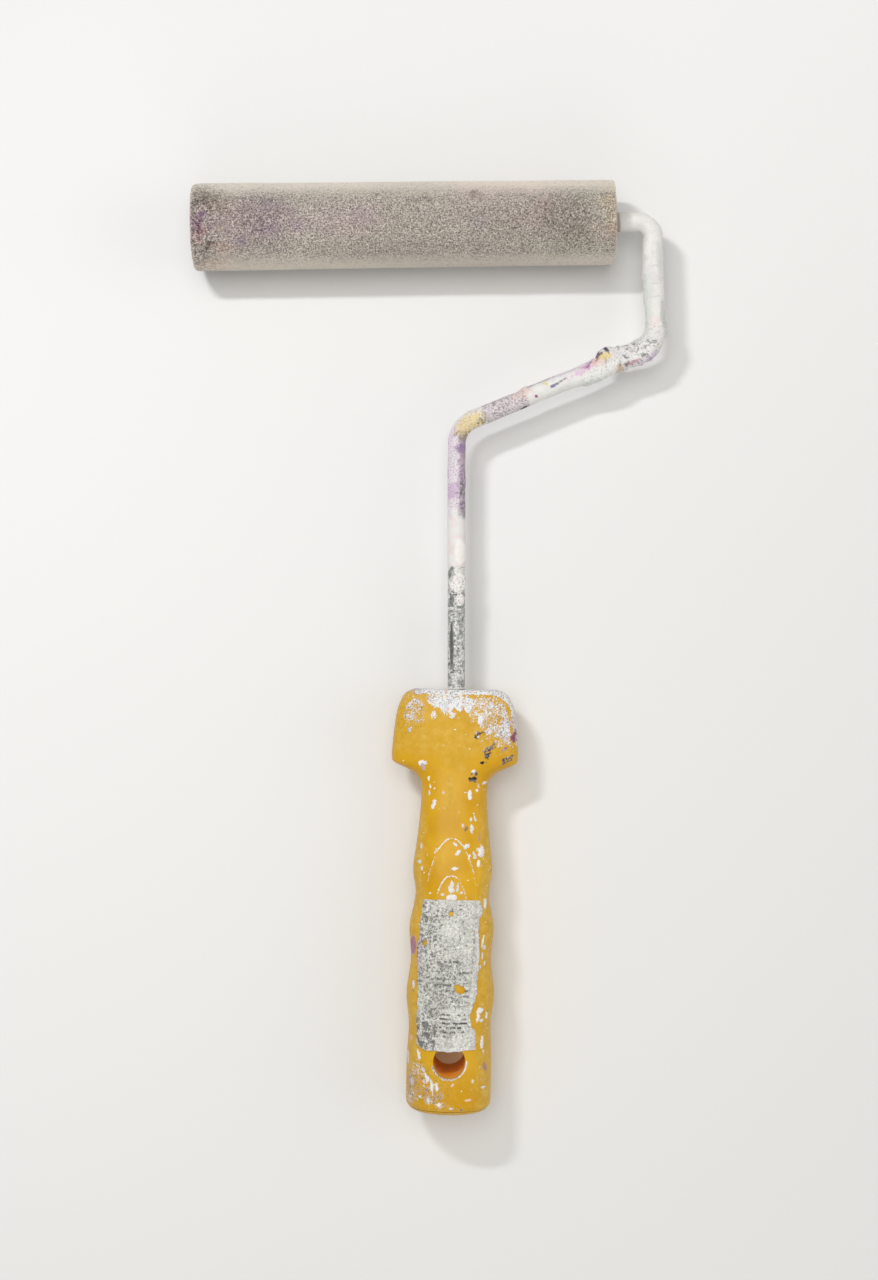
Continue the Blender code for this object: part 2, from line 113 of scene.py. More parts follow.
def smooth(start, end, value):
    """Smooth step: 0 at start, 1 at end, whichever of them is larger."""
    part = np.clip((value - start) / (end - start), 0.0, 1.0)
    return part * part * (3.0 - 2.0 * part)


def oval(x, y, x0, y0, half_x, half_y, turn=0.0):
    """Distance from an oval's centre, 1 on its edge; turn is in degrees, x towards y."""
    cos, sin = math.cos(math.radians(turn)), math.sin(math.radians(turn))
    dx, dy = x - x0, y - y0
    return np.hypot((dx * cos + dy * sin) / half_x, (-dx * sin + dy * cos) / half_y)


def srgb(red, green, blue):
    """Linear colour from 0..255 display values."""
    shown = np.array((red, green, blue), float) / 255.0
    return np.where(shown <= 0.04045, shown / 12.92, ((shown + 0.055) / 1.055) ** 2.4)


def mix(first, second, weight):
    weight = np.asarray(weight)
    if weight.ndim == 1:
        weight = weight[:, None]
    return first * (1.0 - weight) + second * weight


def tinted(tint, weight):
    """A colour factor: 1 where weight is 0, the tint where it is 1."""
    return mix(np.ones(3), np.array(tint), weight)


class Coat:
    """A linear colour for each vertex, painted over in 0..255 display colours."""

    def __init__(self, count, *display):
        self.rgb = np.tile(srgb(*display), (count, 1))

    def add(self, display, weight):
        self.rgb = mix(self.rgb, srgb(*display), weight)


# ------------------------------------------------------------------ meshes
def make_mesh(name, verts, faces, smooth_angle=None):
    mesh = bpy.data.meshes.new(name)
    mesh.from_pydata((verts * MM).tolist(), [], faces)
    mesh.validate()
    mesh.update()
    mesh.shade_smooth()
    if smooth_angle:
        mesh.set_sharp_from_angle(angle=math.radians(smooth_angle))
    obj = bpy.data.objects.new(name, mesh)
    bpy.context.scene.collection.objects.link(obj)
    bm = bmesh.new()
    bm.from_mesh(mesh)
    bmesh.ops.recalc_face_normals(bm, faces=bm.faces)
    bm.to_mesh(mesh)
    bm.free()
    return obj


def ring_angles(segs):
    return np.arange(segs) * 2.0 * math.pi / segs


def ring_faces(rows, segs, closed=False):
    """Quads over rows of rings; the last row joins the first, or both ends are capped."""
    row, k = np.meshgrid(np.arange(rows if closed else rows - 1), np.arange(segs), indexing="ij")
    here, below, after = row * segs, (row + 1) % rows * segs, (k + 1) % segs
    quads = np.stack([here + k, here + after, below + after, below + k], -1)
    faces = quads.reshape(-1, 4).tolist()
    if not closed:
        faces += [list(range(segs)), list(range((rows - 1) * segs, rows * segs))]
    return faces


def write_paint(obj, tint, alpha=None, **numbers):
    """Stores the colour attribute 'tint' and plain number attributes, all in 0..1."""
    rgba = np.ones((len(tint), 4), np.float32)
    rgba[:, :3] = np.clip(tint, 0, 1)
    if alpha is not None:
        rgba[:, 3] = np.clip(alpha, 0, 1)
    attr = obj.data.color_attributes.new(name="tint", type="FLOAT_COLOR", domain="POINT")
    attr.data.foreach_set("color", rgba.ravel())
    for name, values in numbers.items():
        attr = obj.data.attributes.new(name=name, type="FLOAT", domain="POINT")
        attr.data.foreach_set("value", np.clip(values, 0.0, 1.0).astype(np.float32))


def read_vectors(obj, name):
    out = np.zeros(len(obj.data.vertices) * 3)
    obj.data.vertices.foreach_get(name, out)
    return out.reshape(-1, 3)


def coords(obj):
    return read_vectors(obj, "co") / MM


def normals(obj):
    return read_vectors(obj, "normal")


def set_coords(obj, points):
    obj.data.vertices.foreach_set("co", (points * MM).astype(np.float32).ravel())
    obj.data.update()


# ------------------------------------------------------------------ materials
class Shader:
    """One material's node tree; sizes are in millimetres."""

    def __init__(self, name):
        self.material = bpy.data.materials.new(name)
        self.material.use_nodes = True
        self.tree = self.material.node_tree
        self.bsdf = self.tree.nodes["Principled BSDF"]
        self.coord = self.node("TexCoord")["Object"]

    def feed(self, socket, value):
        if isinstance(value, bpy.types.NodeSocket):
            self.tree.links.new(value, socket)
        elif socket.type == "RGBA":
            socket.default_value = (*[float(part) for part in value[:3]], 1.0)
        else:
            socket.default_value = value

    def node(self, kind, inputs=None, **settings):
        """Adds a node with its settings and inputs; gives back its outputs."""
        node = self.tree.nodes.new("ShaderNode" + kind)
        for key, value in settings.items():
            setattr(node, key, value)
        for key, value in (inputs or {}).items():
            self.feed(node.inputs[key], value)
        return node.outputs

    def surface(self, inputs):
        for key, value in inputs.items():
            self.feed(self.bsdf.inputs[key], value)

    def attribute(self, name):
        return self.node("Attribute", attribute_name=name)

    def noise(self, size, detail=3.0, rough=0.55, stretch=None):
        coord = self.coord
        if stretch is not None:
            coord = self.node("Mapping", {"Scale": stretch, "Vector": coord})["Vector"]
        return self.node("TexNoise", {"Scale": 1000.0 / size, "Detail": detail,
                                      "Roughness": rough, "Vector": coord})["Fac"]

    def remap(self, value, over, to=(0.0, 1.0)):
        return self.node("MapRange", {"From Min": over[0], "From Max": over[1], "To Min": to[0],
                                      "To Max": to[1], "Value": value})["Result"]

    def math(self, operation, first, second):
        return self.node("Math", {0: first, 1: second}, operation=operation)[0]

    def add(self, first, second):
        return self.math("ADD", first, second)

    def mul(self, first, second):
        return self.math("MULTIPLY", first, second)

    def mix(self, first, second, factor, blend="MIX"):
        """Mixes two colours; 0, 6, 7 and 2 are the mix node's factor and colour sockets."""
        return self.node("Mix", {0: factor, 6: first, 7: second},
                         data_type="RGBA", blend_type=blend)[2]

    def tint(self, first, second):
        return self.mix(first, second, 1.0, "MULTIPLY")

    def grey(self, value):
        return self.node("CombineColor", {0: value, 1: value, 2: value})[0]

    def grains(self, density, size, spread=3.6):
        """Turns a 0..1 density into crisp grains of dried paint."""
        grain = self.noise(size, detail=5, rough=0.72)
        lifted = self.remap(density, over=(0, 1), to=(-0.55, 1.40))
        push = self.mul(self.math("SUBTRACT", grain, 0.5), spread)
        return self.remap(self.add(lifted, push), over=(0.45, 0.55))

    def bump(self, height, strength, depth):
        out = self.node("Bump", {"Strength": strength, "Distance": depth * MM, "Height": height})
        self.surface({"Normal": out["Normal"]})


def foam_material():
    """Open foam: fine grains and pores, the pores darkened as painted shade, rougher clumps where
    'grit' says, and a painted sheen that pales the outline.
    """
    shader = Shader("roller_foam")
    tint = shader.attribute("tint")["Color"]
    grit = shader.attribute("grit")["Fac"]
    grain = shader.noise(0.50, detail=1, rough=0.6)
    pore_size = 0.62
    pores = shader.node("TexVoronoi", {"Scale": 1000.0 / pore_size,
                                       "Vector": shader.coord})["Distance"]
    clump = shader.noise(0.92, detail=3, rough=0.7)
    facing = shader.node("LayerWeight", {"Blend": 0.5})["Facing"]
    soft = shader.remap(facing, over=(0.24, 0.55))
    # painted shade: the pore term darkens the hollows between the cells, which the bump below also
    # sinks
    both = shader.mul(shader.remap(grain, over=(0.33, 0.67), to=(0.42, 1.56)),
                      shader.remap(pores, over=(0.10, 0.75), to=(1.14, 0.72)))
    lumps = shader.remap(clump, over=(0.44, 0.56), to=(1.15, 0.38))
    rough_part = shader.mix((1.0, 1.0, 1.0), shader.grey(lumps), grit)
    # towards the outline the grain fades to a pale painted sheen, lighter than the foam's own colour,
    # standing in for light caught by the foam's fibres at grazing angles
    painted_sheen = (1.48, 1.46, 1.43)
    fine_part = shader.mix(shader.grey(both), painted_sheen, shader.remap(soft, over=(0, 1), to=(0, 0.88)))
    shader.surface({
        "Base Color": shader.tint(shader.tint(tint, fine_part), rough_part),
        "Roughness": 0.95, "Specular IOR Level": 0.18,
        "Sheen Weight": 0.65, "Sheen Roughness": 0.45, "Sheen Tint": (1.0, 0.96, 0.91)})
    shader.bump(both, strength=0.75, depth=0.30)
    return shader.material


def rod_material():
    """Zinc-plated steel under dried paint; alpha of 'tint' is the paint's density."""
    shader = Shader("rod_zinc_and_paint")
    attr = shader.attribute("tint")
    grit = shader.attribute("grit")["Fac"]
    cover = shader.grains(attr["Alpha"], size=0.9)
    fine = shader.noise(0.55, detail=4, rough=0.7)
    streak = shader.noise(2.4, detail=4, rough=0.65)
    zinc = shader.mix(srgb(108, 111, 110), srgb(200, 202, 199),
                      shader.remap(fine, over=(0.38, 0.62)))
    zinc = shader.mix(zinc, srgb(78, 80, 80),
                      shader.remap(streak, over=(0.54, 0.68), to=(0, 0.85)))
    paint = shader.mix(attr["Color"], (0.62, 0.61, 0.60),
                       shader.remap(streak, over=(0.52, 0.72), to=(0, 0.30)))
    specks = shader.mul(grit, shader.remap(fine, over=(0.53, 0.60)))
    paint = shader.mix(paint, srgb(90, 86, 88), specks)
    shader.surface({
        "Base Color": shader.mix(zinc, paint, cover),
        "Metallic": shader.remap(cover, over=(0, 1), to=(0.80, 0)),
        "Roughness": shader.add(shader.remap(cover, over=(0, 1), to=(0.38, 0.60)),
                                shader.remap(fine, over=(0.3, 0.7), to=(-0.06, 0.08)))})
    shader.bump(shader.add(shader.remap(cover, over=(0, 1), to=(0, 0.7)),
                           shader.remap(fine, over=(0, 1), to=(0, 0.5))),
                strength=0.55, depth=0.16)
    return shader.material


def handle_material():
    """Yellow moulded plastic, paler and duller where a per-point amount says (a pale film of dirt on
    the guard, painted highlight down the neck and on its flanks), under flecks of dried paint.
    """
    shader = Shader("handle_yellow")
    attr = shader.attribute("tint")
    grit = shader.attribute("grit")["Fac"]
    wear = shader.attribute("wear")["Fac"]
    cloud = shader.noise(15.0)
    mottle = shader.noise(2.6, detail=5, rough=0.68)
    fine = shader.noise(0.55, detail=4, rough=0.7)
    scratch = shader.noise(1.1, detail=3, rough=0.7, stretch=(1.0, 0.10, 1.0))
    fresh = shader.mix(srgb(207, 154, 6), srgb(220, 170, 22),
                       shader.remap(cloud, over=(0.35, 0.65)))
    # paler, duller plastic: a pale film of dirt on the guard, painted highlight down the neck and on
    # its flanks
    dusty_and_lit = shader.mix(srgb(203, 156, 34), srgb(221, 179, 68),
                       shader.remap(mottle, over=(0.35, 0.65)))
    dust_and_lit = shader.add(wear, shader.remap(mottle, over=(0.35, 0.65), to=(-0.22, 0.22)))
    body = shader.mix(fresh, dusty_and_lit, shader.remap(dust_and_lit, over=(0.12, 0.95)))
    body = shader.mix(body, srgb(228, 196, 120),
                      shader.remap(scratch, over=(0.62, 0.78), to=(0, 0.40)))
    dirt = shader.mul(shader.remap(grit, over=(0, 1), to=(0.12, 0.85)),
                      shader.remap(fine, over=(0.57, 0.66)))
    body = shader.mix(body, srgb(128, 100, 62), dirt)
    cover = shader.grains(attr["Alpha"], size=0.62, spread=4.5)
    paint = shader.mix(attr["Color"], srgb(196, 190, 196),
                       shader.remap(mottle, over=(0.50, 0.66), to=(0, 0.55)))
    specks = shader.mul(grit, shader.remap(fine, over=(0.52, 0.58)))
    paint = shader.mix(paint, srgb(98, 90, 84), specks)
    shader.surface({
        "Base Color": shader.mix(body, paint, cover),
        "Roughness": shader.add(shader.remap(cover, over=(0, 1), to=(0.38, 0.62)),
                                shader.remap(wear, over=(0, 1), to=(0, 0.14))),
        "Specular IOR Level": 0.34,
        "Subsurface Weight": 0.06, "Subsurface Radius": (0.004, 0.002, 0.0005)})
    shader.bump(shader.add(shader.remap(cover, over=(0, 1), to=(0, 0.9)),
                           shader.remap(fine, over=(0, 1), to=(0, 0.25))),
                strength=0.40, depth=0.14)
    return shader.material


def label_material():
    """Worn paper: fibres, dark flecks where 'grit' says and pale flecks where it is low."""
    shader = Shader("label_sheet")
    tint = shader.attribute("tint")["Color"]
    grit = shader.attribute("grit")["Fac"]
    fibre = shader.noise(0.6, detail=5, rough=0.74)
    fleck = shader.noise(0.95, detail=5, rough=0.74)
    cloud = shader.noise(4.0, detail=3, rough=0.6)
    shade = shader.mul(shader.remap(fibre, over=(0.34, 0.66), to=(0.56, 1.26)),
                       shader.remap(cloud, over=(0.3, 0.7), to=(0.95, 1.04)))
    body = shader.tint(tint, shader.grey(shade))
    mark = shader.add(shader.remap(grit, over=(0, 1), to=(-0.15, 0.03)), fleck)
    body = shader.mix(body, srgb(88, 88, 83),
                      shader.remap(mark, over=(0.525, 0.565), to=(0, 0.82)))
    mark = shader.add(shader.remap(grit, over=(0, 1), to=(0.02, -0.04)),
                      shader.noise(1.0, detail=4, rough=0.7))
    body = shader.mix(body, srgb(238, 238, 233),
                      shader.remap(mark, over=(0.56, 0.60), to=(0, 0.88)))
    shader.surface({"Base Color": body,
                    "Roughness": shader.remap(cloud, over=(0.3, 0.7), to=(0.55, 0.75))})
    shader.bump(fibre, strength=0.5, depth=0.14)
    return shader.material


def moulded_material(name, base, rough, spots=None):
    """A plain moulded part: soft colour clouds and, if given, specks of another colour."""
    shader = Shader(name)
    cloud = shader.noise(4.0, detail=4, rough=0.6)
    fine = shader.noise(0.6, detail=3, rough=0.6)
    dark, light = [part * 0.84 for part in base], [min(1.0, part * 1.10) for part in base]
    body = shader.mix(dark, light, shader.remap(cloud, over=(0.3, 0.7)))
    if spots is not None:
        speck = shader.noise(2.2, detail=5, rough=0.7)
        body = shader.mix(body, spots, shader.remap(speck, over=(0.60, 0.66)))
    shader.surface({
        "Base Color": body,
        "Roughness": shader.remap(fine, over=(0.3, 0.7), to=(rough - 0.06, rough + 0.08))})
    shader.bump(fine, strength=0.12, depth=0.08)
    return shader.material


def steel_material(name, base, rough):
    """Bare steel with brown stains."""
    shader = Shader(name)
    fine = shader.noise(0.5, detail=4, rough=0.65)
    stain = shader.noise(3.5, detail=4, rough=0.6)
    body = shader.mix([part * 0.75 for part in base], base,
                      shader.remap(fine, over=(0.35, 0.65)))
    body = shader.mix(body, (0.22, 0.16, 0.10),
                      shader.remap(stain, over=(0.60, 0.78), to=(0, 0.45)))
    shader.surface({
        "Base Color": body,
        "Metallic": shader.remap(stain, over=(0.55, 0.8), to=(1, 0.75)),
        "Roughness": shader.remap(fine, over=(0.3, 0.7), to=(rough - 0.08, rough + 0.1))})
    shader.bump(fine, strength=0.15, depth=0.05)
    return shader.material


# ------------------------------------------------------------------ the foam cover
COVER_HALF = 75.0               # half its length
FOAM_BORE = 9.3
LEFT_RADIUS, LEFT_EDGE = 15.40, 1.6      # cover radius and edge rounding at the -X end
RIGHT_RADIUS, RIGHT_EDGE = 14.90, 0.8
COVER_SEGS = 242

# blotches on the upper side: x, y, half sizes, colour factor, power
COVER_SPOTS = (
    (-71.5, 9.6, 4.6, 3.6, (0.82, 0.80, 0.77), 0.7), (-72.6, 6.2, 2, 1.4, (0.42, 0.42, 0.40), 0.8),
    (-56, 0, 20, 10, (1.04, 0.96, 1.04), 0.8), (-68.5, 8, 6, 4, (0.66, 0.63, 0.61), 0.7),
    (-69, 5.4, 2.2, 1.6, (0.92, 0.74, 0.80), 0.5), (-66.4, 4, 3, 2.4, (0.80, 0.80, 0.74), 0.6),
    (-69.8, 1.4, 1.9, 1.4, (0.60, 0.46, 0.76), 0.85),
    (-71.6, -0.6, 2.4, 2.2, (0.70, 0.56, 0.74), 0.85),
    (-72.4, -2.6, 1.3, 1.8, (0.58, 0.40, 0.62), 0.7),
    (-70.6, -3.6, 2.6, 1.8, (1.06, 0.86, 0.92), 0.9),
    (-72, -6.2, 2.4, 3, (1.06, 0.88, 0.93), 0.85), (-67.4, -2.6, 1.2, 0.9, (0.78, 0.70, 0.92), 0.8),
    (-67.3, -8.6, 2.2, 1.2, (0.44, 0.34, 0.34), 0.9), (-69.4, -10.6, 2, 1, (0.66, 0.52, 0.60), 0.7),
    (-63.4, -9.4, 4, 2.6, (1.10, 0.96, 0.90), 0.7), (-71.6, -13.4, 2.6, 1.4, (0.66, 0.60, 0.60), 0.6),
    (-66.8, -14, 5, 1.6, (1.08, 0.96, 0.86), 0.6), (-64.6, -3, 1.6, 1, (1.10, 1.08, 0.86), 0.5),
    (-59.4, -1.6, 2.4, 1.4, (1.06, 1.04, 0.92), 0.5), (-57.6, -6.8, 3.4, 2, (0.76, 0.74, 0.88), 0.75),
    (-63, 5.6, 5, 4.4, (0.96, 0.96, 0.88), 0.6), (-50, 0.8, 13, 10.5, (0.87, 0.86, 0.90), 0.85),
    (-50.4, -0.6, 2.4, 1.6, (0.82, 0.84, 0.84), 0.6), (-47.6, -3.4, 5, 2.2, (0.84, 0.80, 0.96), 0.7),
    (-47, 5.2, 4, 2.2, (0.84, 0.82, 0.94), 0.6), (-37.4, -2, 2.6, 3.4, (0.92, 0.84, 1.02), 0.7),
    (-41, 2.6, 3.4, 2.6, (0.92, 0.84, 0.94), 0.5), (-28, 0, 6, 6, (0.97, 0.93, 1.02), 0.5),
    (-14, 1.5, 6, 4, (0.94, 0.90, 0.99), 0.5), (-5, -1, 8, 5, (0.97, 0.96, 0.96), 0.5),
    (25.4, 8.3, 1.7, 2, (0.52, 0.48, 0.48), 0.8), (8.4, 6.7, 1.2, 1.1, (0.62, 0.58, 0.58), 0.7),
    (26.5, -1.5, 4, 2.6, (0.90, 0.92, 1.00), 0.6), (35, -3, 7, 4, (0.96, 0.97, 0.95), 0.6),
    (58, -0.6, 11, 12, (0.87, 0.87, 0.86), 0.85), (60, -4.2, 5, 3.6, (0.90, 0.88, 0.86), 0.7),
    (47, 1.2, 7, 5, (0.93, 0.90, 0.90), 0.6), (50, 4, 3, 2, (0.98, 0.86, 0.88), 0.5),
    (73.2, 3, 3.6, 9, (1.10, 1.02, 0.90), 0.7), (70.6, 5, 4, 1.6, (1.04, 1.01, 0.88), 0.5),
    (73.6, -4.4, 1.4, 2.6, (1.10, 0.95, 0.88), 0.6), (70, -6, 4.4, 4, (1.04, 0.97, 0.92), 0.6),
    (72.4, -0.8, 2, 1.2, (1.08, 0.96, 0.88), 0.5), (41.8, -10.6, 1, 0.8, (0.62, 0.60, 0.58), 0.7),
)
UNDER_TINTS = ((0.76, 0.73, 0.76), (1.06, 1.0, 0.88), (0.86, 0.76, 0.92), (1.06, 0.9, 0.9))
# clumped areas on the upper side: x, y, radius, power
COVER_CLUMPS = ((-51, 0.5, 12, 0.55), (58, -1, 11, 0.5), (-47, 6, 5, 0.5))


def cover_end(end, radius, edge):
    """Half of the section's outline at one end, (x, radius) from the bore to the skin."""
    top = radius - edge
    part = [(end * (COVER_HALF - 4.0), FOAM_BORE), (end * (COVER_HALF - 0.25), FOAM_BORE)]
    part += [(end * COVER_HALF, r) for r in np.arange(FOAM_BORE + 0.3, top, 0.42)]
    part += [(end * (COVER_HALF - edge * (1.0 - math.cos(q))), top + edge * math.sin(q))
             for q in np.linspace(0.0, math.pi / 2.0, 7)]
    return part


def cover_outline():
    """(x, radius) round the whole section of the cover."""
    skin = np.linspace(-COVER_HALF + LEFT_EDGE, COVER_HALF - RIGHT_EDGE, 348)[1:-1]
    growth = RIGHT_RADIUS - LEFT_RADIUS
    return np.array(
        cover_end(-1.0, LEFT_RADIUS, LEFT_EDGE)
        + [(x, LEFT_RADIUS + growth * (x + COVER_HALF) / (2.0 * COVER_HALF)) for x in skin]
        + cover_end(1.0, RIGHT_RADIUS, RIGHT_EDGE)[::-1])


def cover_colour(points, wide, upper, pore):
    """Grey-beige dried paint, darker where the foam is open (painted shade in the pores), with tinted
    blotches; the -Y edge of the upper side is lightened as painted light.
    """
    x, y, z = points.T
    colour = np.tile(srgb(181, 172, 163), (len(points), 1))
    colour = colour * (0.90 + 0.20 * wide)[:, None]
    hue = fbm(points + 40.0, (22, 10, 10), 2, 47)
    colour = colour * mix(np.array((1.03, 0.97, 1.01)), np.array((0.97, 1.02, 0.98)), hue)
    warp = 2.2 * (fbm(points, 3.0, 3, 71) - 0.5)
    for *place, tint, power in COVER_SPOTS:
        weight = power * smooth(1.35, 0.35, oval(x + warp, y - warp, *place)) * upper
        colour = colour * tinted(tint, weight)
    rng = np.random.default_rng(12)
    for _ in range(26):                        # the side that lies on the bench
        x0, angle = rng.uniform(-74, 74), rng.uniform(math.pi * 0.5, math.pi * 1.5)
        half_x, half_round = rng.uniform(2, 8), rng.uniform(2, 5)
        tint = UNDER_TINTS[rng.integers(4)]
        around = np.angle(np.exp(1j * (np.arctan2(y, z) - angle))) * 15.0
        dist = np.hypot((x - x0 + warp) / half_x, (around - warp) / half_round)
        colour = colour * tinted(tint, 0.7 * smooth(1.35, 0.35, dist) * (1.0 - upper))
    # painted light: the -Y edge of the upper side is lightened, standing in for fill light from the
    # -Y side and bounce from the bench
    colour = colour * (1.0 + 0.10 * smooth(-10.0, -13.4, y) * upper)[:, None]
    # painted shade: darker in the pores between the grains
    colour = colour * (1.0 - pore)[:, None]
    ends = smooth(COVER_HALF - 1.2, COVER_HALF - 0.2, np.abs(x))
    return colour * tinted((0.93, 0.86, 0.95), ends * (x < 0))


def build_cover():
    outline = cover_outline()
    x = np.repeat(outline[:, 0], COVER_SEGS)
    radius = np.repeat(outline[:, 1], COVER_SEGS)
    angle = np.tile(ring_angles(COVER_SEGS), len(outline))
    points = np.stack([x, radius * np.sin(angle), radius * np.cos(angle)], 1)
    obj = make_mesh("foam_cover", points, ring_faces(len(outline), COVER_SEGS, closed=True))

    # open foam: small grains, pores between them, a few worn hollows
    coarse, _ = cells(points, 0.98, 3)
    small, _ = cells(points + 5.0, 0.8, 19)
    rough = 0.17 * (0.55 - coarse) + 0.09 * (0.5 - small)
    rough += 0.11 * (fbm(points, (9, 7, 7), 3, 5) - 0.5)
    rough += 0.20 * (fbm(points, (26, 9, 9), 2, 8) - 0.5)
    in_bore = np.hypot(points[:, 1], points[:, 2]) < FOAM_BORE + 0.15
    rough = np.where(in_bore, np.minimum(rough, 0.0) * 0.3, rough)
    moved = points + normals(obj) * rough[:, None]
    moved[:, 2] = np.maximum(moved[:, 2], -DATUM[2] + 0.02)          # it stands on the bench
    set_coords(obj, moved)

    wide = fbm(points, (34, 12, 12), 3, 31)
    upper = smooth(-3.0, 2.0, points[:, 2])
    # painted shade in the pores, where the displacement above sinks the surface
    pore = smooth(0.62, 0.95, coarse) * 0.30 + smooth(0.60, 0.95, small) * 0.16
    clump = smooth(-56.0, -72.0, points[:, 0] + 9.0 * (wide - 0.5)) * 0.9
    for x0, y0, size, power in COVER_CLUMPS:
        dist = np.hypot(points[:, 0] - x0, points[:, 1] - y0) / size
        clump = np.maximum(clump, power * smooth(1.3, 0.4, dist) * upper)
    write_paint(obj, cover_colour(points, wide, upper, pore), grit=clump)
    obj.data.materials.append(foam_material())
    return obj


# ------------------------------------------------------------------ the bent rod
ROD_RADIUS = 3.0
ROD_SEGS = 56
HANDLE_TOP = np.array((16.75, -166.1))
TILT = math.radians(-1.82)
HANDLE_DOWN = np.array((math.sin(TILT), -math.cos(TILT)))        # towards the tail
HANDLE_SIDE = np.array((math.cos(TILT), math.sin(TILT)))         # towards +X
ROD_START, ROD_IN_HANDLE = (-68.0, 0.0), 84.5
GROOVE_X = -60.0
# corners of the centre line and their bend radii: x, y, radius
ROD_BENDS = ((88.9, 0, 6), (89.7, -43.7, 10), (18, -72, 10), (*HANDLE_TOP, 60))
AXLE_STEPS = ((-60.9, 0.5), (-59.1, 0.3), (72.0, 1.2))       # up to x, step
BEND_STEP = 0.34

# Patches of colour in the rod's dried paint: x, y, half sizes, turn in degrees, display
# colour, power, raggedness, then where needed sparseness and whether on the top side only.
ELBOW_PATCHES = (
    (15.7, -76, 1.2, 5, -8, (228, 210, 228), 0.9, 0.5),
    (23.4, -70.8, 5.2, 2.7, 25, (228, 206, 152), 0.9, 0.5),
    (20.2, -73.4, 2.8, 2.4, 60, (222, 200, 150), 0.85, 0.5),
    (27.7, -69.3, 2.3, 1.5, 20, (132, 124, 88), 0.9, 0.9, 0.7),
    (19.8, -75.8, 1.9, 1.9, 60, (140, 124, 96), 0.9, 0.9, 0.7),
    (19.3, -79.9, 1.6, 1.8, 0, (138, 104, 158), 0.8, 0.8, 0.4),
)
DIAGONAL_PATCHES = (
    (41.6, -60.4, 3, 2, 22, (226, 202, 194), 0.7, 0.7),
    (42.4, -58.6, 2, 0.40, 30, (112, 96, 102), 0.9, 0.6, 0, False),
    (48, -57.2, 4, 0.30, 21.5, (160, 146, 166), 0.75, 0.7, 0, False),
    (57, -53.9, 5, 0.40, 21.5, (208, 190, 212), 0.7, 0.7, 0, False),
    (42, -65.6, 1.3, 0.36, 24, (60, 54, 60), 0.95, 0.3, 0, False),
    (46.3, -61.9, 0.75, 0.62, 20, (150, 58, 118), 1, 0.5),
    (52.8, -58.1, 1.1, 0.50, 30, (92, 86, 132), 0.9, 0.7),
    (55.4, -56.7, 2.2, 0.26, 32, (116, 112, 126), 0.85, 0.4),
    (49.9, -57.7, 1, 0.7, 0, (226, 214, 150), 0.85, 0.7),
    (66.5, -56.4, 5, 1.9, 23, (221, 224, 220), 0.9, 0.3),
    (63.3, -52.7, 4.4, 1.4, 32, (224, 184, 214), 0.8, 1, 0.35),
    (66.4, -50.8, 2.8, 0.9, 35, (200, 138, 184), 0.75, 1, 0.35),
    (65.7, -50.9, 1.9, 0.28, 50, (126, 80, 120), 0.85, 0.5),
    (69, -50.2, 2.4, 1.2, 15, (232, 200, 188), 0.85, 0.8),
    (71.2, -49.2, 1.7, 0.7, 20, (232, 212, 146), 0.9, 0.7),
    (71.6, -46, 2.9, 1.7, 35, (84, 62, 88), 1, 0.4, 0, False),
    (69.2, -48.6, 1.6, 0.42, 45, (88, 68, 90), 0.9, 0.5, 0, False),
    (71.2, -50.8, 0.26, 1.3, 8, (150, 136, 150), 0.5, 0.8),
    (76.3, -51.8, 1.4, 1.4, 0, (210, 186, 162), 0.85, 0.8),
    (78.4, -50.3, 1.1, 0.42, 20, (104, 78, 76), 0.9, 0.7),
    (81, -49.4, 2.6, 0.30, 28, (188, 128, 150), 0.8, 0.6),
    (83.4, -50.2, 3.4, 1.2, 26, (224, 202, 222), 0.85, 0.6),
    (87.6, -47.8, 3.2, 1.2, 42, (206, 180, 214), 0.9, 0.6),
    (83, -51.9, 1.5, 0.60, 20, (74, 58, 78), 1, 0.6, 0, False),
    (88.6, -49.2, 3.8, 0.50, 44, (108, 76, 128), 0.95, 0.5, 0, False),
)
# sparse grey smudges at the corner of the leg: x, y, half length
CORNER_SMUDGES = ((75.8, -45.6, 0.9), (80.6, -46.3, 1), (85.2, -45, 1.1), (84.4, -47.2, 0.7),
                  (88.3, -43, 1), (86, -42.8, 0.7), (82.6, -44.4, 0.6))
LEG_PATCHES = (
    (88.6, -36, 2, 2.2, 0, (236, 220, 218), 0.8, 0.35),
    (91.6, -34, 0.8, 6, 2, (200, 200, 196), 0.8, 0.35),
    (87.4, -26, 0.8, 9, 0, (212, 212, 208), 0.7, 0.35),
    (90.6, -14, 0.9, 7, 2, (206, 206, 202), 0.6, 0.35),
    (87, -30, 1, 10, 0, (216, 220, 214), 0.8, 0.6),
    *((89.4, y, 1.6, 0.28, 8, (206, 208, 205), 0.7, 0.5) for y in (-16, -22.5, -27)),
)
# thickness the crust hangs out sideways: places along the rod, thickness there
UPPER_CRUST = ((43, 46, 60, 66, 69, 70.5, 72, 74, 76, 80, 84, 88),
               (0, .25, .1, .3, .5, 1.7, 2.4, 2.0, 1.4, .9, .6, .3))
LOWER_CRUST = ((58, 61, 63, 66, 70, 72, 75, 79, 83, 86, 89),
               (0, .3, 1.2, 1.6, 1.4, 1.0, .9, 1.1, 1.6, 1.2, .8))
LEG_CRUST = ((4, 9, 22, 32, 40, 44), (.2, .9, 1.1, .6, .4, .3))
# x, y, z, radius, height
CRUST_LUMPS = ((73, -47, 0.8, 2.6, 0.6), (82.6, -42.6, 0, 3.2, 0.6), (42, -58.8, 0.4, 2.4, 0.5))
# thick white drops on the shank: x, y, half sizes, height
SHANK_DROPS = ((17.6, -127.9, 2.9, 4.3, 0.75), (18.6, -117, 2.2, 5, 0.35),
               (18.4, -134, 1.6, 2.4, 0.4))


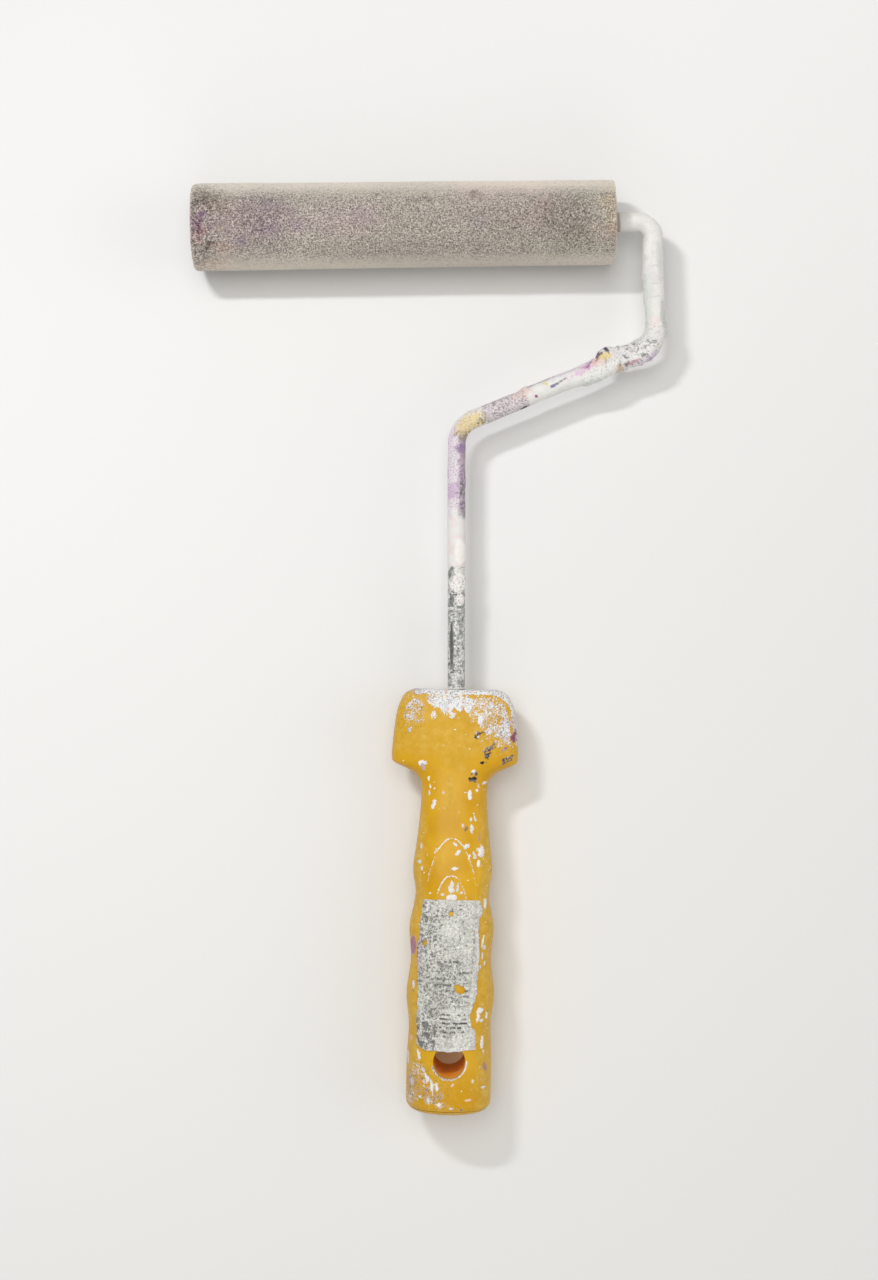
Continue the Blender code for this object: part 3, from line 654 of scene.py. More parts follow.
def rod_path():
    """Centre line samples and tangents, with finer steps where paint is thick."""
    centre, tangent = [], []

    def line(start, end, step):
        length = np.linalg.norm(end - start)
        count = max(1, int(round(length / step)))
        for k in range(count):
            centre.append(start + (end - start) * k / count)
            tangent.append((end - start) / length)

    corners = [np.array(ROD_START), *(np.array(bend[:2]) for bend in ROD_BENDS),
               HANDLE_TOP + HANDLE_DOWN * ROD_IN_HANDLE]
    here = corners[0]
    for x, step in AXLE_STEPS:
        line(here, np.array((x, 0.0)), step)
        here = np.array((x, 0.0))
    for before, corner, after, bend in zip(corners, corners[1:], corners[2:], ROD_BENDS):
        into = (corner - before) / np.linalg.norm(corner - before)
        away = (after - corner) / np.linalg.norm(after - corner)
        turn = math.acos(np.clip(into @ away, -1, 1))
        side = 1.0 if into[0] * away[1] - into[1] * away[0] > 0 else -1.0
        radius = float(bend[2])
        start = corner - into * radius * math.tan(turn / 2)
        line(here, start, BEND_STEP)
        normal = np.array((-into[1], into[0])) * side
        hub = start + normal * radius
        count = max(2, int(radius * turn / BEND_STEP))
        for k in range(count):
            q = turn * k / count
            centre.append(hub - normal * radius * math.cos(q) + into * radius * math.sin(q))
            tangent.append(into * math.cos(q) + normal * math.sin(q))
        here = corner + away * radius * math.tan(turn / 2)
    line(here, here + HANDLE_DOWN * 6.0, 0.4)
    line(here + HANDLE_DOWN * 6.0, corners[-1], 2.0)
    centre.append(corners[-1])
    tangent.append(HANDLE_DOWN)
    return np.array(centre), np.array(tangent)


def rod_shape():
    """Bare rod's points with, for each, the places, zones and noises the paint uses."""
    line, tangent = rod_path()
    rows = len(line)
    run = np.concatenate([[0.0], np.cumsum(np.linalg.norm(np.diff(line, axis=0), axis=1))])
    axle = (np.abs(line[:, 1]) < 1e-6) & (line[:, 0] < 80)
    groove = 0.30 * smooth(0.85, 0.6, np.abs(line[:, 0] - GROOVE_X))
    radius = np.full(rows, ROD_RADIUS)
    radius = np.where(axle, radius - groove, radius)
    radius = np.where(axle, radius - 0.8 * smooth(1.0, 0.0, line[:, 0] - ROD_START[0]), radius)
    radius = radius - 0.8 * smooth(run[-1] - 0.8, run[-1], run)
    angle = ring_angles(ROD_SEGS)
    side = np.stack([-tangent[:, 1], tangent[:, 0], np.zeros(rows)], 1)
    up = np.array((0.0, 0.0, 1.0))
    outward = (side[:, None, :] * np.cos(angle)[None, :, None]
               + up[None, None, :] * np.sin(angle)[None, :, None])
    centre = np.concatenate([line, np.zeros((rows, 1))], 1)
    points = (centre[:, None, :] + outward * radius[:, None, None]).reshape(-1, 3)

    x, y, z = points.T
    mid_x, mid_y = np.repeat(line[:, 0], ROD_SEGS), np.repeat(line[:, 1], ROD_SEGS)
    down = -mid_y
    shank = mid_x < 30
    mid, fine = fbm(points, 1.7, 3, 9), fbm(points, 0.8, 2, 21)
    return SimpleNamespace(
        rows=rows, points=points, outward=outward.reshape(-1, 3), x=x, y=y, z=z,
        mid_x=mid_x, mid_y=mid_y, down=down, across=x - mid_x,
        sideways=np.tile(np.cos(angle), rows), axle=np.repeat(axle, ROD_SEGS), shank=shank,
        stub=(mid_x > 74.0) & (mid_y > -8.0),
        leg=(mid_x > 80.0) & (mid_y <= -4.0) & (mid_y > -44.0),
        diagonal=(mid_y <= -36.0) & (mid_y > -73.0) & (mid_x > 19.0),
        white=shank & (down >= 104) & (down < 122),
        lower=shank & (down >= 122) & (down < 170),
        hidden=((mid_x < 74.5) & (mid_y > -1.0)) | (mid_y < HANDLE_TOP[1] + 0.5),
        big=fbm(points, 4.0, 3, 3), mid=mid, fine=fine, gritty=fbm(points, 0.6, 2, 33),
        speckle=smooth(0.40, 0.56, mid * 0.55 + fine * 0.45))


def rod_cover(rod):
    """Paint density: 0 is clean zinc, 1 thick paint."""
    down, lower = rod.down, rod.lower
    cover = np.where(rod.stub | rod.leg, 1.0, 0.0)
    cover = np.where(rod.diagonal, 0.96, cover)
    # shank from the bend down to the handle
    cover = np.where(rod.shank & (down > 70) & (down < 103), 0.86, cover)
    cover = np.where(rod.shank & (down >= 103) & (down < 122), 1.0, cover)
    cover = np.where(lower, 0.34 + 0.26 * rod.speckle, cover)
    cover = np.where(lower, np.maximum(cover, smooth(164.0, 166.0, down)), cover)
    fade = smooth(137.0, 124.0, down + 9.0 * (rod.big - 0.5)) * 0.9
    cover = np.where(lower & (down < 135), np.maximum(cover, fade), cover)
    return np.where(rod.hidden, 0.0, cover)


def add_patch(rod, coat, x0, y0, half_x, half_y, turn, display, power, ragged,
              sparse=0.0, top=True):
    dist = oval(rod.x, rod.y, x0, y0, half_x, half_y, turn)
    dist = dist + ragged * (1.2 * (rod.mid - 0.5) + 1.8 * (rod.fine - 0.5))
    weight = power * smooth(1.2, 0.8, dist) * (1.0 - sparse * smooth(0.44, 0.56, rod.gritty))
    if top:
        weight = weight * smooth(-1.6, 0.2, rod.z)
    coat.add(display, weight)


def paint_shank(rod, coat):
    """From the bend down: lilac and purple, then white with pink tints."""
    across, down, gritty = rod.across, rod.down, rod.gritty
    zone = rod.shank * (down > 74) * smooth(104.5, 102.0, down + 5.0 * (rod.mid - 0.5))
    right = smooth(0.3, 1.4, across + 1.6 * (rod.mid - 0.5)) * zone
    coat.add((221, 207, 220), 0.9 * zone * (0.5 + 0.5 * rod.fine))
    coat.add((178, 158, 176), right * 0.9)
    coat.add((196, 160, 200), smooth(0.50, 0.66, rod.big) * zone * 0.6)
    coat.add((120, 112, 122), smooth(0.58, 0.70, gritty) * right * 0.8)
    dark = (smooth(-0.5, 1.2, across + 2.0 * (rod.mid - 0.5)) * zone
            * smooth(88.0, 94.0, down))
    coat.add((104, 108, 104), smooth(0.46, 0.56, gritty) * dark * 0.75)
    band = smooth(100.0, 103.0, down) * smooth(106.0, 104.0, down)
    coat.add((152, 150, 150), smooth(1.2, 2.4, across) * band * rod.shank * 0.8)
    coat.add((233, 214, 214), smooth(0.50, 0.68, rod.big) * rod.white * 0.55)


def rod_coat(rod):
    coat = Coat(len(rod.x), 228, 227, 224)
    coat.add((214, 208, 210), smooth(0.55, 0.85, rod.big) * 0.5)
    paint_shank(rod, coat)
    for patch in ELBOW_PATCHES:
        add_patch(rod, coat, *patch)
    zone = rod.diagonal & (rod.mid_x < 43) & (rod.mid_x > 28)
    coat.add((212, 200, 207), zone * 0.75)
    coat.add((132, 118, 128), smooth(0.64, 0.76, rod.gritty) * zone * 0.7)
    for patch in DIAGONAL_PATCHES:
        add_patch(rod, coat, *patch)
    corner = (smooth(8.0, 5.5, np.hypot((rod.x - 80.0) / 1.45, rod.y + 45.8))
              * smooth(-1.6, 0.2, rod.z))
    coat.add((84, 82, 90), smooth(0.72, 0.80, rod.gritty) * corner * 0.8)
    for x0, y0, size in CORNER_SMUDGES:
        add_patch(rod, coat, x0, y0, size, size * 0.7, 20, (104, 108, 108),
                  power=0.8, ragged=0.9, sparse=0.85)
    for patch in LEG_PATCHES:
        add_patch(rod, coat, *patch)
    # a beige ring where the rod leaves the cover: the paint's colour, darkened as painted shade of
    # the cover's end; and a darker line of painted shade at its outer edge, strongest on the -Y side
    outside = (rod.mid_x > 74) * (rod.mid_y > -1)
    coat.add((182, 172, 154), smooth(77.0, 76.6, rod.mid_x) * outside)
    ring = smooth(0.5, 0.2, np.abs(rod.mid_x - 76.8)) * outside
    coat.add((120, 108, 94), ring * 0.45 * smooth(1.0, -1.0, rod.y))
    return coat


def rod_crust(rod, cover):
    """Thickness of the dried paint."""
    big, mid = rod.big, rod.mid - 0.5
    thick = np.where(cover > 0.5, 0.16, 0.04) * (0.5 + big) + 0.10 * mid
    # zone, least thickness, gain from the big noise, gain from the middle noise
    for zone, least, big_gain, mid_gain in ((rod.stub, 0.30, 0.32, 0.12),
                                            (rod.leg, 0.16, 0.26, 0.10),
                                            (rod.diagonal, 0.12, 0.24, 0.12)):
        thick = np.where(zone, least + big_gain * big + mid_gain * mid, thick)
    thick = np.where(rod.lower, 0.10 * rod.speckle + 0.05 * big, thick)
    # it hangs unevenly: on the -X side of the leg, on both sides of the diagonal
    share = smooth(0.0, 0.85, np.abs(rod.sideways)) * (0.70 + 0.60 * rod.mid)
    plus, minus = rod.sideways > 0, rod.sideways <= 0
    on_diagonal = rod.diagonal & (rod.mid_x > 43)
    for zone, place, table in ((on_diagonal & minus, rod.mid_x, UPPER_CRUST),
                               (on_diagonal & plus, rod.mid_x, LOWER_CRUST),
                               (rod.leg & minus, rod.down, LEG_CRUST)):
        thick = thick + np.where(zone, np.interp(place, *table) * share, 0.0)
    for x0, y0, z0, radius, height in CRUST_LUMPS:
        dist = np.sqrt((rod.x - x0) ** 2 + (rod.y - y0) ** 2 + (rod.z - z0) ** 2) / radius
        thick += height * smooth(1.0, 0.15, dist + 0.3 * mid)
    return thick


def rod_grit(rod):
    grit = np.where(rod.lower, 0.7, 0.12)
    grit = np.where(rod.diagonal & (rod.mid_x < 43) & (rod.mid_x > 24), 0.7, grit)
    grit = np.where(rod.shank & (rod.down < 101), 0.45, grit)
    grit = np.where(rod.diagonal & (rod.mid_x > 62), 0.35, grit)
    return np.where(rod.white | rod.hidden, 0.0, grit)


def build_rod():
    rod = rod_shape()
    cover, coat = rod_cover(rod), rod_coat(rod)
    thick = rod_crust(rod, cover)
    for *place, height in SHANK_DROPS:
        dist = oval(rod.x, rod.y, *place) + 0.2 * (rod.mid - 0.5)
        weight = smooth(1.05, 0.75, dist) * smooth(-0.5, 0.8, rod.z)
        thick += height * weight
        cover = np.maximum(cover, weight)
        coat.add((240, 236, 232), weight * 0.9)
    # dark streak low on the shank's -X side, and a grey one above it
    top = smooth(-0.8, 0.4, rod.z)
    dist = oval(rod.x, rod.y, 15.3, -150.0, 0.75, 8.0) + 0.5 * (rod.mid - 0.5)
    weight = smooth(1.1, 0.8, dist) * top
    cover = np.maximum(cover, weight * 0.95)
    coat.add((88, 90, 86), weight)
    dist = oval(rod.x, rod.y, 15.6, -124.6, 1.2, 2.6) + 0.5 * (rod.mid - 0.5)
    weight = smooth(1.1, 0.8, dist) * top
    coat.add((120, 126, 122), weight * (0.4 + 0.6 * smooth(0.4, 0.6, rod.fine)))

    thick = np.where(rod.hidden, 0.0, np.maximum(thick, 0.0))
    thick = thick * smooth(74.6, 75.6, np.where(rod.axle, rod.mid_x, 99.0))
    thick = thick * smooth(HANDLE_TOP[1] - 0.2, HANDLE_TOP[1] + 1.2, rod.mid_y)
    obj = make_mesh("bent_rod", rod.points + rod.outward * thick[:, None],
                    ring_faces(rod.rows, ROD_SEGS), 50)
    write_paint(obj, coat.rgb, cover, grit=rod_grit(rod))
    obj.data.materials.append(rod_material())
    return obj


# ------------------------------------------------------------------ the handle
# Handle axes: x to the side (towards +X), down from its top towards the tail, z up.
# Stations: down, half width, half depth, squareness of the section
STATIONS = np.array((
    (0, 14.9, 7, 3.6), (0.5, 16.4, 7.7, 3.7), (1.6, 18, 8.3, 3.8), (3.6, 19.4, 8.7, 3.8),
    (7, 20.75, 8.8, 3.7), (15, 21.9, 8.6, 3.6), (20.5, 22.4, 8.3, 3.4), (23.4, 22.5, 8.1, 3.3),
    (25.2, 22.35, 7.9, 3.2), (26.1, 21.4, 7.8, 3.1), (27.5, 18.3, 7.75, 3), (29.3, 14.8, 7.8, 2.9),
    (32.1, 12.35, 8, 2.7), (35, 11.75, 8.3, 2.6), (37.5, 11.7, 8.6, 2.6), (46.4, 12.2, 9.7, 2.6),
    (56, 13.25, 10.6, 2.5), (63.8, 14.1, 11.3, 2.5), (72.1, 13, 11.9, 2.4), (84.9, 14.95, 12.9, 2.4),
    (94.9, 14.2, 13.5, 2.3), (108.2, 15.55, 14.2, 2.3), (119.4, 14.5, 14.6, 2.3),
    (131, 15, 14.9, 2.2), (143.5, 15.1, 15.1, 2.2), (146.3, 14.95, 15, 2.2),
    (147.9, 14, 14.2, 2.2), (148.9, 12.6, 12.9, 2.2), (149.5, 10.6, 10.9, 2.2)))
HANDLE_SEGS = 236
HOLE_DOWN, HOLE_RADIUS = 130.3, 5.55
HOLE_SEGS = 120
# raised arches on the top side, outer then inner: apex, (half width, down) points
ARCH_SHAPES = ((52.1, ((5, 56.5), (7.9, 64.5), (8.95, 71), (9.4, 80))),
               (65.2, ((2.6, 66.6), (3.8, 68.6), (5.4, 73), (6.4, 80))))
ARCH_SHIFT = -0.45


def section(down):
    """Half width, half depth and squareness at each place down (monotone cubic)."""
    down = np.atleast_1d(np.asarray(down, float))
    knots, values = STATIONS[:, 0], STATIONS[:, 1:]
    gaps = np.diff(knots)
    slopes = np.diff(values, axis=0) / gaps[:, None]
    bend = np.zeros_like(values)
    bend[0], bend[-1] = slopes[0], slopes[-1]
    before, after = slopes[:-1], slopes[1:]
    with np.errstate(divide="ignore", invalid="ignore"):
        bend[1:-1] = np.where(before * after > 0, 2 * before * after / (before + after), 0.0)
    i = np.clip(np.searchsorted(knots, down, side="right") - 1, 0, len(knots) - 2)
    u = ((np.clip(down, knots[0], knots[-1]) - knots[i]) / gaps[i])[:, None]
    gap = gaps[i][:, None]
    return (values[i] * (2 * u ** 3 - 3 * u ** 2 + 1) + bend[i] * gap * (u ** 3 - 2 * u ** 2 + u)
            + values[i + 1] * (-2 * u ** 3 + 3 * u ** 2) + bend[i + 1] * gap * (u ** 3 - u ** 2))


def section_ring(half_width, half_depth, square, segs):
    """Points (x, z) of the section spaced evenly along its outline."""
    angle = np.linspace(0.0, 2.0 * math.pi, 1441)
    cos, sin = np.cos(angle), np.sin(angle)
    x = half_width * np.sign(cos) * np.abs(cos) ** (2.0 / square)
    z = half_depth * np.sign(sin) * np.abs(sin) ** (2.0 / square)
    run = np.concatenate([[0.0], np.cumsum(np.hypot(np.diff(x), np.diff(z)))])
    spaced = np.linspace(0.0, run[-1], segs + 1)[:-1]
    return np.stack([np.interp(spaced, run, x), np.interp(spaced, run, z)], 1)


def skin_height(x, down):
    """Height of the handle's top skin above its centre plane."""
    half_width, half_depth, square = section(down).T
    part = np.clip(np.abs(x) / half_width, 0.0, 0.9999)
    return half_depth * (1.0 - part ** square) ** (1.0 / square)


def to_datum(local):
    out = np.zeros_like(local)
    out[:, :2] = HANDLE_TOP + local[:, :1] * HANDLE_SIDE + local[:, 1:2] * HANDLE_DOWN
    out[:, 2] = local[:, 2]
    return out


def from_datum(points):
    flat = points[:, :2] - HANDLE_TOP
    return np.stack([flat @ HANDLE_SIDE, flat @ HANDLE_DOWN, points[:, 2]], 1)


def loft(name, downs, cap_steps=7, smooth_angle=None):
    """Skins the sections at the given places; flat caps close both ends."""
    values = section(downs)
    # depth and squareness are evened out over the neck
    reach = np.linspace(-3.0, 3.0, 25)
    weight = np.exp(-0.5 * (reach / 1.3) ** 2)
    soft = sum(w * section(downs + shift) for shift, w in zip(reach, weight)) / weight.sum()
    calm = smooth(8.0, 12.0, downs) * smooth(60.0, 50.0, downs)
    values[:, 1:] = mix(values[:, 1:], soft[:, 1:], calm)
    rings = []
    for down, shape in zip(downs, values):
        ring = section_ring(*shape, HANDLE_SEGS)
        rings.append(np.stack([ring[:, 0], np.full(HANDLE_SEGS, down), ring[:, 1]], 1))
    shrink = [1.0 - k / cap_steps for k in range(1, cap_steps)]
    top = [rings[0] * (part, 1.0, part) for part in shrink[::-1]]
    tail = [rings[-1] * (part, 1.0, part) for part in shrink]
    rows = top + rings + tail
    return make_mesh(name, to_datum(np.concatenate(rows)), ring_faces(len(rows), HANDLE_SEGS),
                     smooth_angle)


def arch_line(apex, points, side):
    """Samples (x, down) of one side of a tapering arch."""
    downs = np.linspace(apex, points[-1][1], 160)
    half_width = np.interp(np.sqrt(downs - apex),
                           [0.0] + [math.sqrt(down - apex) for _, down in points],
                           [0.0] + [half for half, _ in points])
    return np.stack([side * half_width + ARCH_SHIFT, downs], 1)


ARCHES = [arch_line(*shape, side) for shape in ARCH_SHAPES for side in (-1.0, 1.0)]


def arch_fields(x, down):
    """Distance to the nearest arch line, and that line's number (0, 1 outer; 2, 3 inner)."""
    near, kind = np.full(len(x), 99.0), np.zeros(len(x), int)
    region = np.where((down > 50.0) & (down < 82.0) & (np.abs(x) < 13))[0]
    best, which = near[region], kind[region]
    for k, line in enumerate(ARCHES):
        for arch_x, arch_down in line:
            dist = np.hypot(x[region] - arch_x, down[region] - arch_down)
            closer = dist < best
            best = np.where(closer, dist, best)
            which = np.where(closer, k, which)
    near[region], kind[region] = best, which
    return near, kind


# specks of dried paint: x, down, half sizes, turn in degrees, display colour, height
WHITE, PALE = (238, 236, 233), (222, 218, 220)
SPECKS = (
    (-11.3, 25.9, 1.7, 0.9, 5, WHITE, 0.30), (-11, 27.4, 0.6, 1, 20, (196, 170, 180), 0.1),
    (-9.1, 31.2, 0.45, 0.85, -10, WHITE, 0.22), (-8.6, 34, 0.4, 0.8, 5, WHITE, 0.22),
    (-8.8, 36.6, 0.3, 0.9, 5, PALE, 0.1), (-7.2, 40.2, 0.7, 1.7, -18, WHITE, 0.30),
    (-4, 36.2, 0.4, 0.4, 0, (236, 214, 180), 0.1), (6.7, 28.6, 0.9, 0.8, 0, WHITE, 0.30),
    (6.8, 30.8, 1.25, 1, 10, (48, 34, 22), 0.20), (5.5, 36.8, 0.8, 1.7, -4, WHITE, 0.30),
    (3.9, 36, 0.4, 0.3, 0, WHITE, 0.1), (8, 35.2, 0.5, 0.5, 0, WHITE, 0.15),
    (8.5, 33.6, 0.4, 0.7, 0, (240, 214, 170), 0.1), (10.6, 32.7, 0.8, 0.5, 30, PALE, 0.15),
    (8.1, 15.3, 1.2, 0.8, 25, (86, 72, 64), 0.2), (7.4, 16.2, 0.6, 0.5, 0, (60, 50, 48), 0.15),
    (11.8, 20.6, 1.7, 0.9, 35, (122, 112, 112), 0.2), (11.4, 22.8, 1.9, 0.8, 52, (70, 64, 74), 0.25),
    (10, 24.9, 0.9, 0.6, 20, (34, 30, 34), 0.2), (18.6, 23.6, 2, 0.55, 22, (66, 60, 76), 0.2),
    (18.2, 25, 1.6, 0.35, 28, (122, 104, 96), 0.1), (20.6, 16.4, 0.55, 1.3, -10, (136, 72, 96), 0.1),
    (17.3, 20.6, 0.9, 0.55, 25, (150, 98, 120), 0.1), (6.4, 48.6, 0.7, 2, 12, WHITE, 0.34),
    (6, 45.4, 0.35, 0.6, 0, WHITE, 0.12), (7.5, 45, 0.3, 1.2, 20, PALE, 0.1),
    (3.2, 47.4, 0.5, 0.6, 0, WHITE, 0.2), (4.4, 48.6, 0.7, 0.9, 0, (150, 120, 60), 0.08),
    (4.8, 54.5, 1, 0.9, 0, WHITE, 0.30), (9.7, 56.6, 1.15, 2.3, 3, WHITE, 0.38),
    (9, 51.8, 0.35, 1.4, -8, (192, 150, 130), 0.05), (1.8, 56.9, 1.2, 0.6, 40, WHITE, 0.30),
    (0.7, 54.2, 0.9, 0.35, -30, WHITE, 0.22), (0.5, 62.7, 1.5, 0.7, 5, WHITE, 0.25),
    (7.7, 58.8, 0.7, 0.7, 0, PALE, 0.15), (7.2, 57.2, 0.5, 1, 30, PALE, 0.12),
    (9.1, 60.9, 0.55, 1.1, 0, WHITE, 0.2), (5.6, 58.6, 0.3, 1.3, -20, WHITE, 0.15),
    (-6, 56.2, 0.45, 0.7, 0, (226, 196, 180), 0.1), (-11.6, 60.8, 0.6, 0.8, 0, PALE, 0.12),
    (-11.3, 55, 0.35, 1, 0, (236, 214, 190), 0.08), (-10.9, 63, 0.4, 0.7, 0, PALE, 0.1),
    (-0.4, 69.4, 1, 2.2, 4, WHITE, 0.28), (1.8, 69.2, 0.5, 1.6, -8, PALE, 0.15),
    (-0.2, 72.6, 1.8, 1.2, 0, WHITE, 0.2), (3, 71, 0.5, 0.6, 0, PALE, 0.12),
    (-3.6, 71.8, 0.5, 0.4, 0, PALE, 0.1), (-7.9, 71.6, 0.5, 0.4, 0, WHITE, 0.1),
    (11.7, 75, 0.5, 1.9, 3, WHITE, 0.15), (11, 88.4, 0.35, 2.6, -8, WHITE, 0.16),
    (11.6, 90.2, 0.6, 0.8, 0, PALE, 0.1), (11, 93.4, 0.4, 1.3, 0, PALE, 0.1),
    (10.3, 97.4, 0.25, 0.8, 0, PALE, 0.1), (11.8, 96, 0.3, 0.9, 0, PALE, 0.08),
    (-13, 104, 0.5, 1.2, 5, PALE, 0.16), (-13, 106.2, 0.4, 0.5, 0, (150, 140, 90), 0.05),
    (10.4, 112.4, 1.1, 1, 30, WHITE, 0.28), (9.8, 114.6, 0.6, 1.5, -10, WHITE, 0.25),
    (11, 116, 0.8, 0.6, 20, WHITE, 0.2), (12.8, 114.4, 0.4, 1.7, 2, WHITE, 0.2),
    (11.4, 123.7, 0.6, 1.9, -4, WHITE, 0.28), (11.9, 126.8, 0.25, 0.8, 0, PALE, 0.1),
    (12.6, 132.6, 0.7, 1.6, 15, (178, 138, 120), 0.05), (12.3, 139.6, 0.9, 0.5, 0, PALE, 0.08),
    (8.3, 137, 0.4, 0.8, 0, PALE, 0.1), (-10.7, 128.4, 0.5, 1.5, 12, WHITE, 0.28),
    (-13.6, 123.2, 0.5, 0.9, 0, (226, 176, 160), 0.08),
    (-12.9, 138.2, 0.5, 0.9, 8, (206, 192, 204), 0.12), (-8, 135.6, 0.5, 1.6, 30, WHITE, 0.2),
    (-9, 133.4, 0.4, 0.9, 30, PALE, 0.1), (-8.9, 137.4, 0.5, 0.4, 0, (240, 190, 170), 0.1),
    (-6, 138.9, 0.4, 2.2, 10, WHITE, 0.2), (-4.2, 139, 0.5, 1.5, 2, WHITE, 0.2),
    (1.4, 138, 0.6, 0.6, 0, (234, 206, 190), 0.1), (-7, 144, 0.5, 0.9, 15, PALE, 0.14),
    (-3.2, 145, 0.9, 0.6, 15, WHITE, 0.2), (-10, 143, 0.5, 0.6, 30, PALE, 0.12),
    (6.6, 143.6, 1.3, 0.5, 0, (232, 200, 176), 0.08), (1, 146.4, 0.9, 0.4, 0, PALE, 0.1),
    (-14.6, 130, 0.3, 2.6, 2, PALE, 0.1), (4.6, 147, 0.5, 0.4, 0, (90, 60, 40), 0.05),
)
# broad splashes: x, down, half sizes, density
SPLASHES = (
    (-3, 3.2, 7.4, 3.9, 0.84), (-8.4, 3.6, 2.8, 2.8, 0.70), (-3.4, 5.4, 3, 2.9, 0.94),
    (0.8, 5.2, 2.2, 2.4, 0.94), (4.3, 4, 2.2, 3.2, 0.80), (6.2, 4.4, 2, 2.4, 0.62),
    (4.6, 6.2, 1.3, 1.7, 0.86), (8.6, 4.2, 3.8, 3.4, 0.57), (11.6, 5.4, 2.2, 1.6, 0.74),
    (14.8, 5.8, 3.6, 2.4, 0.56), (12.6, 3.4, 3, 1.4, 0.60), (-7.8, 8.8, 1.2, 1.7, 0.66),
    (-1.2, 8.6, 1.3, 1.4, 0.60), (6.4, 8.6, 2.4, 2.6, 0.52), (8.8, 10.6, 1.3, 2.3, 0.95),
    (12.2, 8.6, 4.4, 3.8, 0.56), (16.4, 8.4, 2.6, 3.6, 0.62), (-14.8, 5.4, 4, 3.6, 0.60),
    (-14.2, 8.6, 3.6, 3.6, 0.55), (-17, 9.4, 2.4, 3.8, 0.53), (-16.4, 14.3, 0.9, 0.9, 0.92),
    (-16.2, 12, 3, 2.2, 0.36), (18, 13.4, 2.2, 4.4, 0.80), (18.6, 10.4, 1.6, 3, 0.74),
    (15.6, 13, 3, 3.8, 0.57), (12.2, 12.8, 4.2, 3.6, 0.53), (15.6, 17.2, 3.6, 3, 0.48),
    (19, 17.6, 1.5, 2.4, 0.62), (10.8, 16.4, 3.2, 2.6, 0.40), (12, 18.8, 3.6, 2.4, 0.26),
    (-12.8, 22.4, 1.6, 1.2, 0.25), (-13, 19, 1, 1, 0.20), (-4.6, 8, 1.6, 1.6, 0.44),
    (-12.8, 138, 2.2, 3.4, 0.56), (-10.8, 136.2, 4.6, 6.8, 0.46), (-13, 142.4, 3, 4.6, 0.54),
    (-5.4, 142, 4.6, 4.6, 0.50), (-3, 145.2, 2.6, 1.8, 0.52), (-5.6, 139.6, 1, 3.4, 0.55),
    (12, 137, 2.2, 7, 0.24), (0.5, 146, 6, 1.6, 0.34),
)


def guard_depth(x, down):
    """How far a point of the broad guard lies inside its outline, corners rounded."""
    from_side, radius = section(down)[:, 0] - np.abs(x), 6.0
    corner = radius - np.hypot(np.maximum(radius - from_side, 0.0),
                               np.maximum(radius - down, 0.0))
    return np.where((from_side < radius) & (down < radius), corner,
                    np.minimum(from_side, down))


def splash_density(skin):
    """Broad splashes, the guard's painted rim and what lies on the sides and underside."""
    x, down, facing, mid, big = skin.x, skin.down, skin.facing, skin.mid, skin.big
    dense = np.zeros(len(x))
    warp = 1.3 * (mid - 0.5)
    for *place, power in SPLASHES:
        dist = oval(x + warp, down - warp, *place)
        dense = np.maximum(dense, power * smooth(1.20, 0.62, dist))
    dense = (dense + 0.34 * (mid - 0.5) * smooth(0.05, 0.4, dense)) * skin.front
    # the rounded edge of the guard: white along the top and the right, bare line inside it
    rim = guard_depth(x, down)
    right, left = smooth(10.0, 15.0, x), smooth(-12.0, -17.0, x)
    on_rim = smooth(1.7, 1.2, rim) * (down < 24) * (facing > -0.2)
    strength = (0.92 * (1 - left) * smooth(22.0, 14.0, down + 4 * (big - 0.5))
                + left * smooth(6.0, 2.5, down) * 0.30)
    dense = np.maximum(dense, on_rim * strength * (0.80 + 0.35 * mid))
    line = (smooth(0.62, 0.22, np.abs(rim - 2.2 - 0.25 * (big - 0.5)))
            * (down < 24) * (facing > 0.2))
    dense = dense * (1.0 - line * (0.45 + 0.40 * left + 0.15 * right)
                     * smooth(0.34, 0.56, mid + 0.22 * left))
    around = 1.0 - skin.front
    dense = np.maximum(dense, around * (0.85 * smooth(6.0, 0.5, down)
                                        + 0.42 * smooth(26.0, 4.0, down) * big))
    dense = np.maximum(dense, around * 0.46 * smooth(0.52, 0.80, big) * smooth(20.0, 60.0, down))
    return np.maximum(dense, (0.80 - 0.45 * smooth(-9.0, -13.0, x)) * smooth(0.7, 0.1, down))


def handle_dust_and_highlight(skin, low):
    x, down = skin.x, skin.down
    out = np.abs(x)
    bow = 0.045 * x * x * smooth(9.0, 3.0, out) - 5.0 * smooth(9.0, 2.0, out)
    # a pale film of dirt on the guard's face, down to a curved edge above the neck
    wear = 0.64 * smooth(27.0, 19.0, down + bow)
    # painted highlight: paler, duller flanks below the neck, standing in for light through the
    # plastic and sheen at its sides
    wear = np.maximum(wear, 0.80 * smooth(7.5, 11.5, out) * smooth(38.0, 50.0, down))
    # painted highlight: a narrow pale streak down the neck, left of the middle
    wear = np.maximum(wear, 0.80 * smooth(2.8, 0.4, np.abs(x + 1.6))
                      * smooth(26.0, 33.0, down) * smooth(47.0, 40.0, down))
    # paler at the tail, more so on the -X side
    wear = np.maximum(wear, low * (0.20 + 0.20 * smooth(2.0, -8.0, x)))
    return np.clip(wear + 0.25 * (skin.big - 0.5), 0, 1)


